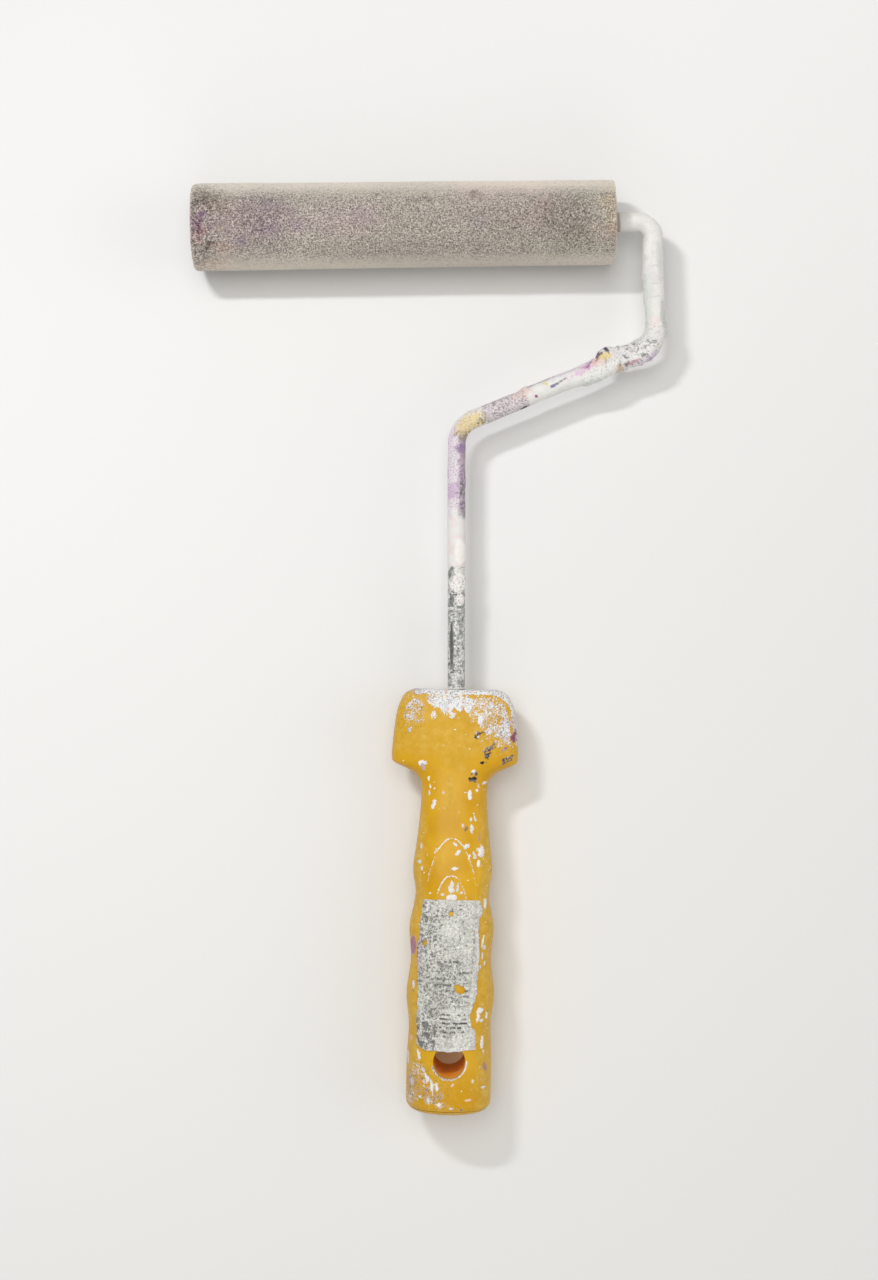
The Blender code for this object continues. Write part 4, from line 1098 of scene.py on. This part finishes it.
def add_specks(skin):
    for x0, down0, half_x, half_down, turn, display, lump in SPECKS:
        dark = sum(display) < 400 and down0 < 40
        dist = (oval(skin.x, skin.down, x0, down0, half_x, half_down, -turn)
                / (1.35 if dark else 1.0) + (1.3 if dark else 0.9) * (skin.fine - 0.5))
        weight = smooth(1.22, 0.80, dist) * skin.front
        if dark:
            weight = weight * (1.0 - 0.62 * smooth(0.42, 0.54, skin.gritty)
                               * smooth(0.3, 0.8, dist))
        halo = smooth(1.5, 1.2, dist)
        skin.density = np.maximum(skin.density, weight)
        skin.coat.add(display, halo * skin.front)
        skin.height = np.maximum(skin.height, lump * smooth(1.15, 0.3, dist) * skin.front)
        skin.grit = skin.grit * (1.0 - halo)


def add_lines(skin):
    """A purple stain beside the label, and paint along the arches and the hole's edge."""
    x, down, local = skin.x, skin.down, skin.local
    dist = oval(x, down, -13.5, 90.4, 1.3, 4.0) + 0.25 * (skin.mid - 0.5)
    weight = smooth(1.1, 0.75, dist) * smooth(-0.3, 0.1, skin.facing)
    skin.density = np.maximum(skin.density, 0.78 * weight)
    skin.coat.add((176, 118, 140), weight)

    skin.near, kind = arch_fields(x, down)
    broken = smooth(0.36, 0.56, fbm(local, (2.5, 6.0, 2.5), 3, 65))
    strong = ((kind >= 2) & (down < 70.5) & (x < 1.5)) | ((kind < 2) & (down < 56.0) & (x < 4.0))
    weight = smooth(np.where(strong, 0.46, 0.36), np.where(strong, 0.20, 0.08), skin.near)
    weight = weight * skin.front
    skin.density = np.maximum(skin.density,
                              weight * np.where(strong, 0.80, 0.14 + 0.54 * broken))
    skin.coat.add((240, 234, 220), weight)

    ring = np.abs(np.hypot(x, down - HOLE_DOWN) - (HOLE_RADIUS + 0.3))
    weight = (smooth(0.85, 0.35, ring + 0.4 * (skin.fine - 0.3))
              * smooth(HOLE_DOWN - 1.5, HOLE_DOWN + 2.0, down + 0.15 * x)
              * (local[:, 2] > 0) * skin.front)
    skin.density = np.maximum(skin.density, weight)
    skin.coat.add((240, 236, 230), weight)


def add_sprinkle(skin):
    """Tiny drops, crowded in places."""
    crowd = fbm(skin.local + 31.0, 9.0, 2, 83)
    extra = 0.9 * smooth(4.0, 9.0, skin.x) * (skin.down < 75)
    for size, share, seed in ((2.6, 0.28, 77), (1.7, 0.26, 79)):
        dist, ident = cells(skin.local, size, seed)
        dist = dist * size / 2.0
        some = ident < share * (0.35 + 1.6 * smooth(0.45, 0.75, crowd) + extra)
        tiny = smooth(0.20, 0.12, dist) * some * skin.front
        skin.density = np.maximum(skin.density, tiny)
        shade = np.where((ident * 91 % 1 > 0.3)[:, None], srgb(238, 234, 228), srgb(226, 190, 176))
        skin.coat.rgb = mix(skin.coat.rgb, shade, smooth(0.30, 0.2, dist) * some)
        skin.height = np.maximum(skin.height, 0.10 * tiny)


def paint_handle(local, facing):
    """Paint on the handle's points; facing is the upward part of their normals."""
    x, down, _ = local.T
    skin = SimpleNamespace(
        local=local, x=x, down=down, facing=facing, front=smooth(-0.05, 0.25, facing),
        mid=fbm(local, 1.9, 3, 5), fine=fbm(local, 0.95, 2, 15),
        gritty=fbm(local, 0.75, 2, 17), big=fbm(local, 5.5, 3, 25))
    dense = splash_density(skin)
    skin.coat = Coat(len(x), 238, 239, 240)
    lilac = fbm(local + 60.0, 3.2, 3, 35)
    skin.coat.add((214, 202, 216), smooth(0.50, 0.75, lilac) * 0.6 * (down > 9))
    corner = smooth(-9.0, -13.0, x) * (down < 16)
    skin.coat.add((214, 211, 216), corner * 0.55)
    low = smooth(126.0, 134.0, down)
    skin.coat.add((196, 168, 150), low * smooth(0.34, 0.56, lilac) * 0.9)
    skin.height = smooth(0.35, 0.75, dense) * (0.08 + 0.16 * skin.mid)
    skin.density = np.clip(dense, 0, 1)

    grit = 1.0 * corner * smooth(-8.0, -11.0, x) + 0.85 * smooth(7.0, 12.0, x) * (down < 19)
    grit = np.maximum(grit, 0.72 * smooth(9.0, 3.0, down))
    grit = np.maximum(grit, low * smooth(5.0, -5.0, x))
    skin.grit = np.maximum(grit, 0.25 * smooth(9.0, 12.0, np.abs(x)) * (down > 40))
    skin.wear = handle_dust_and_highlight(skin, low)
    add_specks(skin)
    add_lines(skin)
    add_sprinkle(skin)
    skin.density = np.clip(skin.density, 0, 1)
    return skin


def hole_tool():
    """Cutter for the hang hole, slightly flared at its mouths."""
    half = [(-30.0, HOLE_RADIUS + 0.7), (-14.6, HOLE_RADIUS + 0.55),
            (-13.8, HOLE_RADIUS + 0.06), (-12.8, HOLE_RADIUS)]
    profile = half + [(-z, radius) for z, radius in reversed(half)]
    angle = ring_angles(HOLE_SEGS)
    rows = [np.stack([radius * np.cos(angle), HOLE_DOWN + radius * np.sin(angle),
                      np.full(HOLE_SEGS, z)], 1) for z, radius in profile]
    return make_mesh("hole_tool", to_datum(np.concatenate(rows)),
                     ring_faces(len(rows), HOLE_SEGS))


def cut_hole(obj):
    cutter = hole_tool()
    mod = obj.modifiers.new("hang_hole", "BOOLEAN")
    mod.operation = "DIFFERENCE"
    mod.solver = "EXACT"
    mod.object = cutter
    graph = bpy.context.evaluated_depsgraph_get()
    cut_mesh = bpy.data.meshes.new_from_object(obj.evaluated_get(graph))
    weld = bmesh.new()
    weld.from_mesh(cut_mesh)
    bmesh.ops.remove_doubles(weld, verts=weld.verts, dist=0.004 * MM)
    weld.to_mesh(cut_mesh)
    weld.free()
    obj.modifiers.clear()
    old = obj.data
    obj.data = cut_mesh
    bpy.data.meshes.remove(old)
    bpy.data.objects.remove(cutter)
    obj.data.name = "handle_shell"
    obj.data.shade_smooth()
    obj.data.set_sharp_from_angle(angle=math.radians(38))


def build_handle():
    downs = np.concatenate([[0.0, 0.12, 0.3, 0.5, 0.8], np.arange(1.15, 147.5, 0.383),
                            [147.62, 147.75]])
    obj = loft("handle_shell", downs)
    points, normal = coords(obj), normals(obj)
    local = from_datum(points)
    skin = paint_handle(local, normal[:, 2])
    # raised arches on the top side, then sink marks and flow waves of the moulding
    height = skin.height + 0.20 * smooth(0.62, 0.10, skin.near) * smooth(0.1, 0.35, normal[:, 2])
    height = height + 0.10 * (fbm(local, (14, 26, 14), 2, 91) - 0.5)
    height = np.where(local[:, 1] > 147.3, 0.0, height)
    set_coords(obj, points + normal * height[:, None])
    cut_hole(obj)

    # the cut mesh is painted afresh; the hole's wall is a deep even orange, brighter than the
    # plastic's own colour: painted light standing in for light shining through the plastic
    local = from_datum(coords(obj))
    skin = paint_handle(local, normals(obj)[:, 2])
    x, down, z = local.T
    wall = (np.hypot(x, down - HOLE_DOWN) < HOLE_RADIUS + 0.3) & (np.abs(z) < 14.0)
    deep = wall & (z < 13.0)
    cover = np.where(deep, 1.0, np.where(wall, 0.0, skin.density))
    # painted light: full-strength orange on the hole's wall
    colour = np.where(deep[:, None], np.array((1.0, 0.44, 0.012)), skin.coat.rgb)
    obj.data.materials.clear()
    obj.data.materials.append(YELLOW)
    write_paint(obj, colour, cover, grit=np.where(wall, 0.0, skin.grit),
                wear=np.where(wall, 0.0, skin.wear))
    return obj


def build_tail():
    """The cap that closes the handle's tail."""
    downs = np.concatenate([[147.9, 148.02], np.linspace(148.2, 149.5, 9)])
    obj = loft("tail_plug", downs, cap_steps=12, smooth_angle=38)
    points, normal = coords(obj), normals(obj)
    local = from_datum(points)
    skin = paint_handle(local, normal[:, 2])
    blots = 0.55 * smooth(0.45, 0.75, fbm(local, 3.4, 3, 101)) * (local[:, 1] > 148.6)
    height = np.minimum(skin.height, 0.1) * (local[:, 1] > 148.1)
    set_coords(obj, points + normal * height[:, None])
    write_paint(obj, skin.coat.rgb, np.maximum(skin.density, blots), grit=skin.grit,
                wear=np.maximum(skin.wear, 0.4))
    obj.data.materials.append(YELLOW)
    return obj


# ------------------------------------------------------------------ the torn label
# outline: x, down
LABEL_EDGE = (
    (-10, 73.7), (-2, 73.5), (9.6, 73.7), (10.7, 76), (10.9, 78.4), (9.9, 80), (9.6, 84), (9.9, 92),
    (9.8, 99.6), (9.4, 105), (8.7, 108.6), (7.7, 111.6), (7.1, 114.5), (7.4, 118), (8.7, 118.8),
    (9.1, 121), (9.1, 126.1), (0, 126.6), (-8.6, 126.5), (-11.2, 125), (-11.7, 118), (-11.6, 106),
    (-11.7, 97), (-12, 90), (-11.2, 86), (-11.4, 82.4), (-10.7, 78))
# holes torn in it: x, down, half sizes, turn in degrees
TEARS = ((3, 104.6, 1.75, 1.25, 26), (-9.2, 88.9, 0.55, 0.95, 20), (-0.4, 78.4, 0.8, 0.62, 0))
# rows of short worn-off dashes, a meaningless pattern: down, from x, to x, power
DASH_ROWS = (
    (95.2, -2.6, 2.4, 0.6), (96.9, -4.0, 4.6, 0.4), (99.0, -1.0, 6.4, 0.7), (101.1, -4.8, 1.6, 0.6),
    (103.2, -5.6, 0.2, 0.6), (105.2, -3.0, 6.2, 0.55), (107.2, 4.2, 6.6, 0.6),
    (109.2, 3.8, 6.4, 0.5), (113.6, -3.8, 6.4, 0.8), (115.1, -3.6, 5.4, 0.8),
    (116.6, -3.6, 6.0, 0.8), (118.1, -3.8, 6.8, 0.85), (119.7, -3.6, 5.2, 0.7),
    (121.3, -3.4, 1.0, 0.6))
# hairline creases drawn as grey lines of painted shade: down at the start, from x, to x
HAIRLINES = ((110.9, 2.2, 8.0), (111.6, -4.0, 2.4))
# drops and smears of white: x, down, half sizes, turn in degrees
LABEL_DROPS = (
    (0.6, 110, 1.4, 1.7, -10), (0.2, 112.6, 0.8, 1.1, -20), (1.8, 114, 1, 1.2, 0),
    (-6.4, 115.6, 2, 1.2, 0), (-5, 121.8, 0.7, 1.8, -35), (3.2, 121.2, 1, 1.8, -20),
    (8, 111.4, 0.8, 0.9, 0), (1.5, 98.6, 0.7, 1.2, 0), (-0.6, 101.6, 0.6, 0.9, 0),
    (9.4, 76.6, 0.9, 2.8, -5), (4, 79, 2.4, 1.3, 0), (9, 90, 0.5, 9, -2), (-9.4, 92, 1.6, 4, -15),
    (-11, 80, 0.5, 3, -8), (1.2, 97, 0.5, 0.9, 0))


def inside_polygon(x, y, corners):
    hit = np.zeros(len(x), bool)
    for (x1, y1), (x2, y2) in zip(corners, corners[-1:] + corners[:-1]):
        crosses = (y1 > y) != (y2 > y)
        hit ^= crosses & (x < (x2 - x1) * (y - y1) / (y2 - y1) + x1)
    return hit


def label_points(x, down, flat, fine):
    """The sheet laid on the handle's skin, wrinkled and creased down its +X side."""
    wrinkle = fbm(flat, (5, 9, 1), 3, 17)
    crease = (np.exp(-((x - 8.1 - 0.5 * np.sin(down * 0.21)) / 0.35) ** 2)
              * smooth(80, 86, down) * smooth(104, 98, down))
    lift = 0.20 + 0.22 * wrinkle + 0.22 * crease + 0.08 * (fine - 0.5)
    # a fold along the lower edge, over the hang hole
    lift = lift + 0.10 * smooth(125.0, 126.3, down)
    # lifted along the normal of the skin, in the plane of the section
    step = 0.05
    slope = (skin_height(x + step, down) - skin_height(x - step, down)) / (2 * step)
    length = np.hypot(slope, 1)
    return np.stack([x - slope / length * lift, down,
                     skin_height(x, down) + 1 / length * lift], 1)


def add_print(coat, x, down, flat):
    """Worn dashes, and hairline creases drawn as grey lines of painted shade."""
    worn = smooth(0.30, 0.52, fbm(flat, 2.2, 2, 57))
    for down0, start, end, power in DASH_ROWS:
        band = smooth(0.46, 0.22, np.abs(down - down0 + 0.1 * np.sin(x * 1.7)))
        cell = np.zeros((len(x), 3), np.int64)
        cell[:, 0] = np.floor((x + 30) / 0.47)
        cell[:, 1] = int(down0 * 10)
        weight = (band * smooth(start - 0.2, start + 0.2, x) * smooth(end + 0.2, end - 0.2, x)
                  * (lattice_hash(cell, 5) > 0.32) * (0.62 + 0.34 * worn))
        coat.add((52, 54, 60), weight * min(1.0, 1.25 * power))
    for down0, start, end in HAIRLINES:
        weight = smooth(0.28, 0.10, np.abs(down - down0 + 0.16 * (x - start)))
        coat.add((120, 118, 116), weight * (x > start) * (x < end) * 0.6)


def label_paint(x, down, flat, fine):
    """Colour and grit of the label's points."""
    coat = Coat(len(x), 214, 214, 206)
    cloud = fbm(flat, 6.0, 3, 27)
    coat.rgb = coat.rgb * (0.90 + 0.18 * cloud)[:, None]
    # grey speckle, dense down the -X side and at the lower -X corner
    grit = 0.62 + 0.34 * smooth(1.0, -8.0, x + 3.0 * (cloud - 0.5)) - 0.30 * smooth(4.0, 8.0, x)
    grit = grit - 0.25 * smooth(0.5, 0.8, cloud) + 0.15 * smooth(100.0, 76.0, down)
    dirt = smooth(-3.6, -6.0, x + 2.5 * (cloud - 0.5)) * smooth(110.0, 116.0, down)
    coat.add((182, 179, 175), dirt * 0.4)
    printed = (smooth(-5.0, -3.6, x) * smooth(7.4, 6.4, x)
               * smooth(93.5, 95.5, down) * smooth(121.5, 120.0, down))
    coat.rgb = coat.rgb * (1.0 - 0.05 * printed)[:, None]
    grit = grit + (0.22 - 0.26 * smooth(110.5, 112.5, down)) * printed
    grit = np.maximum(grit, 0.98 * dirt)
    grit = grit * (1.0 - 0.8 * smooth(120.5, 122.5, down) * smooth(-5.5, -4.0, x))
    coat.add((176, 172, 168), smooth(0.5, 0.75, fbm(flat, (3, 12, 1), 2, 49)) * 0.35)
    # dark streaks at both -X corners, and a soft crease down the +X side drawn grey as painted shade
    streak = smooth(0.50, 0.58, fbm(flat, (0.9, 1.9, 1.0), 3, 61))
    place = np.maximum(dirt, 0.8 * smooth(-6.0, -8.5, x) * smooth(92.0, 82.0, down))
    coat.add((104, 103, 101), streak * place * 0.78)
    pale = smooth(0.60, 0.68, fbm(flat, (1.1, 1.5, 1.0), 3, 63))
    coat.add((236, 236, 233), pale * (0.35 + 0.65 * place) * 0.8)
    crease = (smooth(0.42, 0.12, np.abs(x - 7.4 - 0.4 * np.sin(down * 0.23)))
              * smooth(80.0, 85.0, down) * smooth(107.0, 100.0, down))
    coat.add((146, 145, 140), crease * (0.4 + 0.4 * streak))
    add_print(coat, x, down, flat)
    for drop in LABEL_DROPS:
        weight = smooth(1.15, 0.75, oval(x, down, *drop) + 0.5 * (fine - 0.5))
        coat.add((226, 225, 221), weight * 0.85)
    # a pale strip along the lower edge, lilac tints at both sides
    coat.add((222, 222, 220), smooth(124.9, 125.4, down) * smooth(-6.5, -4.5, x) * 0.75)
    coat.add((206, 190, 206), smooth(7.4, 8.6, x) * smooth(119, 122, down) * 0.6)
    coat.add((198, 180, 188),
             smooth(-9.6, -11.2, x) * smooth(80, 86, down) * smooth(106, 96, down) * 0.7)
    return coat.rgb, grit


def build_label():
    across, along = np.arange(-12.6, 11.8, 0.21), np.arange(72.6, 127.4, 0.23)
    x, down = [grid.ravel() for grid in np.meshgrid(across, along, indexing="xy")]
    flat = np.stack([x, down, np.zeros(len(x))], 1)
    fine = fbm(flat, 0.9, 2, 9)
    ragged = 0.55 * (fbm(flat, 1.6, 3, 7) - 0.5)
    keep = inside_polygon(x + ragged, down + ragged * 0.8, LABEL_EDGE)
    for tear in TEARS:
        keep &= ~(oval(x, down, *tear) + 0.4 * (fine - 0.5) < 1.0)
    points = label_points(x, down, flat, fine)
    colour, grit = label_paint(x, down, flat, fine)

    index = np.arange(len(x)).reshape(len(along), len(across))
    quads = np.stack([index[:-1, :-1], index[:-1, 1:], index[1:, 1:], index[1:, :-1]], -1)
    quads = quads.reshape(-1, 4)
    used, inverse = np.unique(quads[keep[quads].all(axis=1)].ravel(), return_inverse=True)
    obj = make_mesh("label_sheet", to_datum(points[used]), inverse.reshape(-1, 4).tolist())
    if normals(obj)[:, 2].mean() < 0:
        obj.data.flip_normals()
    write_paint(obj, colour[used], grit=grit[used])
    mod = obj.modifiers.new("paper", "SOLIDIFY")
    mod.thickness = 0.14 * MM
    mod.offset = -1.0
    obj.data.materials.append(label_material())
    return obj


# ------------------------------------------------------------------ turned hardware
LATHE_SEGS = 112


def lathe(name, profile, material, along=(1.0, 0.0), centre=(0.0, 0.0), bevel=0.22):
    """Turns a closed (axial, radius) profile about an axis that lies flat."""
    axis = np.array((along[0], along[1], 0.0))
    side = np.array((-along[1], along[0], 0.0))
    up = np.array((0.0, 0.0, 1.0))
    verts, rows = [], []
    for axial, radius in profile:
        hub = np.array((centre[0], centre[1], 0.0)) + axis * axial
        first = len(verts)
        if radius < 1e-6:
            verts.append(hub)
        else:
            verts += [hub + radius * (side * math.sin(q) + up * math.cos(q))
                      for q in ring_angles(LATHE_SEGS)]
        rows.append(list(range(first, len(verts))))
    faces = []
    for here, after in zip(rows, rows[1:] + rows[:1]):
        if len(here) == 1 and len(after) == 1:
            continue
        for k in range(LATHE_SEGS):
            m = (k + 1) % LATHE_SEGS
            if len(here) == 1:
                faces.append([here[0], after[m], after[k]])
            elif len(after) == 1:
                faces.append([here[k], here[m], after[0]])
            else:
                faces.append([here[k], here[m], after[m], after[k]])
    obj = make_mesh(name, np.array(verts), faces, 30)
    mod = obj.modifiers.new("edges", "BEVEL")
    mod.width = bevel * MM
    mod.segments = 2
    mod.limit_method = "ANGLE"
    mod.angle_limit = math.radians(35)
    obj.data.materials.append(material)
    return obj


# closed outlines: distance along the axis, radius
SLEEVE = ((-73.3, 7.8), (-73.3, 9), (73.3, 9), (73.3, 7.8))
NEAR_PLUG = ((74.7, 6.9), (74.7, 8.95), (73.6, 8.95), (73.6, 7.62), (54.6, 7.62), (54, 7.02),
             (54, 5.15), (58.7, 5.15), (59.4, 5.55), (60.6, 5.55), (61.3, 5.15), (69.4, 5.15),
             (69.4, 6.9))
FAR_PLUG = ((-74.1, 0), (-74.1, 5.6), (-74.7, 6.2), (-74.7, 8.95), (-73.6, 8.95), (-73.6, 7.62),
            (-50.6, 7.62), (-50, 7.02), (-50, 5.15), (-62.3, 5.15), (-63, 5.55), (-64.2, 5.55),
            (-64.9, 5.15), (-70.2, 5.15), (-72.6, 3), (-72.6, 0))
NEAR_BUSH = ((52, 3.14), (70.9, 3.14), (70.9, 6.4), (69.7, 6.4), (69.7, 5), (61, 5), (60.3, 5.4),
             (59.7, 5.4), (59, 5), (52.6, 5), (52, 4.5))
FAR_BUSH = ((-69.2, 3.14), (-69.2, 4.5), (-68.6, 5), (-64.6, 5), (-63.9, 5.4), (-63.3, 5.4),
            (-62.6, 5), (-49.7, 5), (-49.7, 6.4), (-48.5, 6.4), (-48.5, 3.14), (-59.25, 3.14),
            (-59.25, 4.21), (-60.75, 4.21), (-60.75, 3.14))
COLLAR = ((71.3, 3.05), (74.1, 3.05), (74.1, 5.1), (73.6, 5.6), (71.8, 5.6), (71.3, 5.1))
WASHER = ((80.4, 3.05), (81.5, 3.05), (81.5, 5), (81, 7), (80.4, 7), (80.4, 5))

# ------------------------------------------------------------------ assemble
YELLOW = handle_material()
STEEL = steel_material("spring_steel", base=(0.46, 0.46, 0.47), rough=0.34)
NYLON = moulded_material("nylon_natural", base=(0.78, 0.76, 0.68), rough=0.42)
CORE = moulded_material("core_white", base=(0.70, 0.70, 0.67), rough=0.5,
                        spots=(0.46, 0.40, 0.37))
PLUG = moulded_material("plug_grey", base=(0.30, 0.31, 0.32), rough=0.5,
                        spots=(0.52, 0.49, 0.46))

# piece, body it moves with, CAD node it replaces, material slot
PIECES = (
    (build_cover(), "roller", "foam_sleeve", "roller_foam"),
    (build_rod(), "frame", "frame_rod", "zinc_rod"),
    (build_handle(), "frame", "handle_body", "handle_yellow"),
    (build_tail(), "frame", "tail_cap", "handle_yellow"),
    (build_label(), "frame", "handle_label", "label_sheet"),
    (lathe("core_sleeve", SLEEVE, CORE), "roller", "core_tube", "core_white"),
    (lathe("near_plug", NEAR_PLUG, PLUG), "roller", "near_end_plug", "plug_grey"),
    (lathe("far_plug", FAR_PLUG, PLUG), "roller", "far_end_plug", "plug_grey"),
    (lathe("bush_near", NEAR_BUSH, NYLON), "bearings", "near_bush", "nylon"),
    (lathe("bush_far", FAR_BUSH, NYLON, bevel=0.12), "bearings", "far_bush", "nylon"),
    (lathe("axle_collar", COLLAR, STEEL), "frame", "stop_collar", "spring_steel"),
    (lathe("push_on_washer", WASHER, STEEL, along=HANDLE_DOWN, centre=HANDLE_TOP),
     "frame", "rod_lock_washer", "spring_steel"),
)
for piece, body, node_name, slot in PIECES:
    set_coords(piece, coords(piece) + DATUM)
    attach(piece, body)
    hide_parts(node_name)
spring = frame["nodes"]["retaining_spring"]
spring.data.materials.clear()
spring.data.materials.append(STEEL)


# ------------------------------------------------------------------ bench (metres)
def bench_material():
    """White paper, shaded softly across the bench as painted light falloff, with an ochre spot under
    the hang hole: painted light standing in for orange light bounced off the hole's wall.
    """
    shader = Shader("bench_white")
    tone = shader.noise(400.0, detail=2, rough=0.5)
    paper = shader.mix((0.808, 0.810, 0.803), (0.820, 0.824, 0.819),
                       shader.remap(tone, over=(0.3, 0.7)))
    axes = shader.node("SeparateXYZ", {"Vector": shader.coord})
    x, y = axes["X"], axes["Y"]
    # painted light falloff across the bench: brightness linear in x and y, plus 1.1 xy, plus y
    # squared times (3.5 x - 0.5)
    fade = shader.add(shader.remap(x, over=(-0.3, 0.3), to=(0.984, 0.988)),
                      shader.remap(y, over=(-0.4, 0.4), to=(0.09, -0.06)))
    fade = shader.add(fade, shader.mul(shader.mul(x, y), 1.1))
    lean = shader.add(shader.mul(x, 3.5), -0.5)
    fade = shader.add(fade, shader.mul(shader.mul(y, y), lean))
    paper = shader.tint(paper, shader.grey(fade))
    # painted light: an ochre spot on the bench under the hang hole, standing in for orange light
    # bounced off the hole's wall
    under = (HANDLE_TOP + HOLE_DOWN * HANDLE_DOWN + DATUM[:2]) * MM
    away = shader.node("VectorMath", {0: shader.coord, 1: (under[0], under[1], 0.0)},
                       operation="DISTANCE")["Value"]
    spot = shader.remap(away, over=(0.008, 0.010), to=(1, 0))
    shader.surface({"Base Color": shader.mix(paper, (0.99, 0.80, 0.50), spot),
                    "Roughness": 0.85, "Specular IOR Level": 0.2})
    return shader.material


BENCH_HALF, BENCH_DROP = 6, 0.0002
floor = bpy.data.objects.new("bench", bpy.data.meshes.new("bench"))
floor.data.from_pydata([(BENCH_HALF * x, BENCH_HALF * y, 0)
                        for x, y in ((-1, -1), (1, -1), (1, 1), (-1, 1))], [], [(0, 1, 2, 3)])
bpy.context.scene.collection.objects.link(floor)
floor.data.materials.append(bench_material())
floor.location.z = -BENCH_DROP

# ------------------------------------------------------------------ light (metres)
BENCH_LIGHT = 3.36
# each lamp's share is its part of the light on the bench
KEY_PLACE, KEY_SHARE = Vector((-0.319, 0.430, 0.70)), 0.258
KEY_LENGTH, KEY_WIDTH = 0.14, 0.05
# round lamps: name, elevation, azimuth, distance, spread (angles in degrees), share, colour
SOFTBOXES = (
    ("overhead", 78.0, 110.0, 2.2, 38.0, 0.345, (1.0, 0.977, 0.944)),
    ("wall_down", 28.0, 272.0, 2.0, 44.0, 0.075, (1.0, 0.99, 0.975)),
    ("wall_right", 32.0, 0.0, 2.0, 44.0, 0.07, (1.0, 0.99, 0.97)),
)


def add_lamp(name, place, colour, energy):
    data = bpy.data.lights.new(name, "AREA")
    data.color = colour
    data.energy = energy
    lamp = bpy.data.objects.new(name, data)
    lamp.location = place
    bpy.context.scene.collection.objects.link(lamp)
    return lamp


def add_key():
    """A strip with its long side along X, level with the bench."""
    energy = KEY_SHARE * BENCH_LIGHT * math.pi * KEY_PLACE.length ** 4 / KEY_PLACE.z ** 2
    strip = add_lamp("key", KEY_PLACE, (0.985, 0.985, 1.0), energy).data
    strip.shape = "RECTANGLE"
    strip.size, strip.size_y = KEY_LENGTH, KEY_WIDTH


def add_softbox(name, elevation, azimuth, distance, spread, share, colour):
    rise, turn = math.radians(elevation), math.radians(azimuth)
    place = Vector((math.cos(rise) * math.cos(turn), math.cos(rise) * math.sin(turn),
                    math.sin(rise))) * distance
    energy = share * BENCH_LIGHT * math.pi * distance ** 2 / math.sin(rise)
    lamp = add_lamp(name, place, colour, energy)
    lamp.data.shape = "DISK"
    lamp.data.size = 2.0 * distance * math.tan(math.radians(spread) / 2.0)
    lamp.rotation_euler = place.to_track_quat("Z", "Y").to_euler()


add_key()
for softbox in SOFTBOXES:
    add_softbox(*softbox)
world = bpy.data.worlds.new("studio")
world.use_nodes = True
background = world.node_tree.nodes["Background"]
background.inputs["Color"].default_value = (1.0, 0.985, 0.955, 1.0)
background.inputs["Strength"].default_value = 0.33
scene = bpy.context.scene
scene.world = world
scene.view_settings.view_transform = "Standard"
scene.view_settings.look = "None"
scene.view_settings.exposure = 0.0

# ------------------------------------------------------------------ camera, looking down
CAMERA_FOOT = np.array((10.8, -148.2))       # millimetres from the datum
CAMERA_HEIGHT = 0.85
CAMERA_TURN = math.radians(-0.68)
foot = (DATUM[:2] + CAMERA_FOOT) * MM
camera_data = bpy.data.cameras.new("camera")
camera_data.lens = 65.8125
camera_data.sensor_width = 36.0
camera_data.sensor_fit = "AUTO"
camera_data.clip_start = 0.01
camera = bpy.data.objects.new("camera", camera_data)
camera.location = (foot[0], foot[1], CAMERA_HEIGHT)
camera.rotation_euler = (0.0, 0.0, CAMERA_TURN)
scene.collection.objects.link(camera)
scene.camera = camera
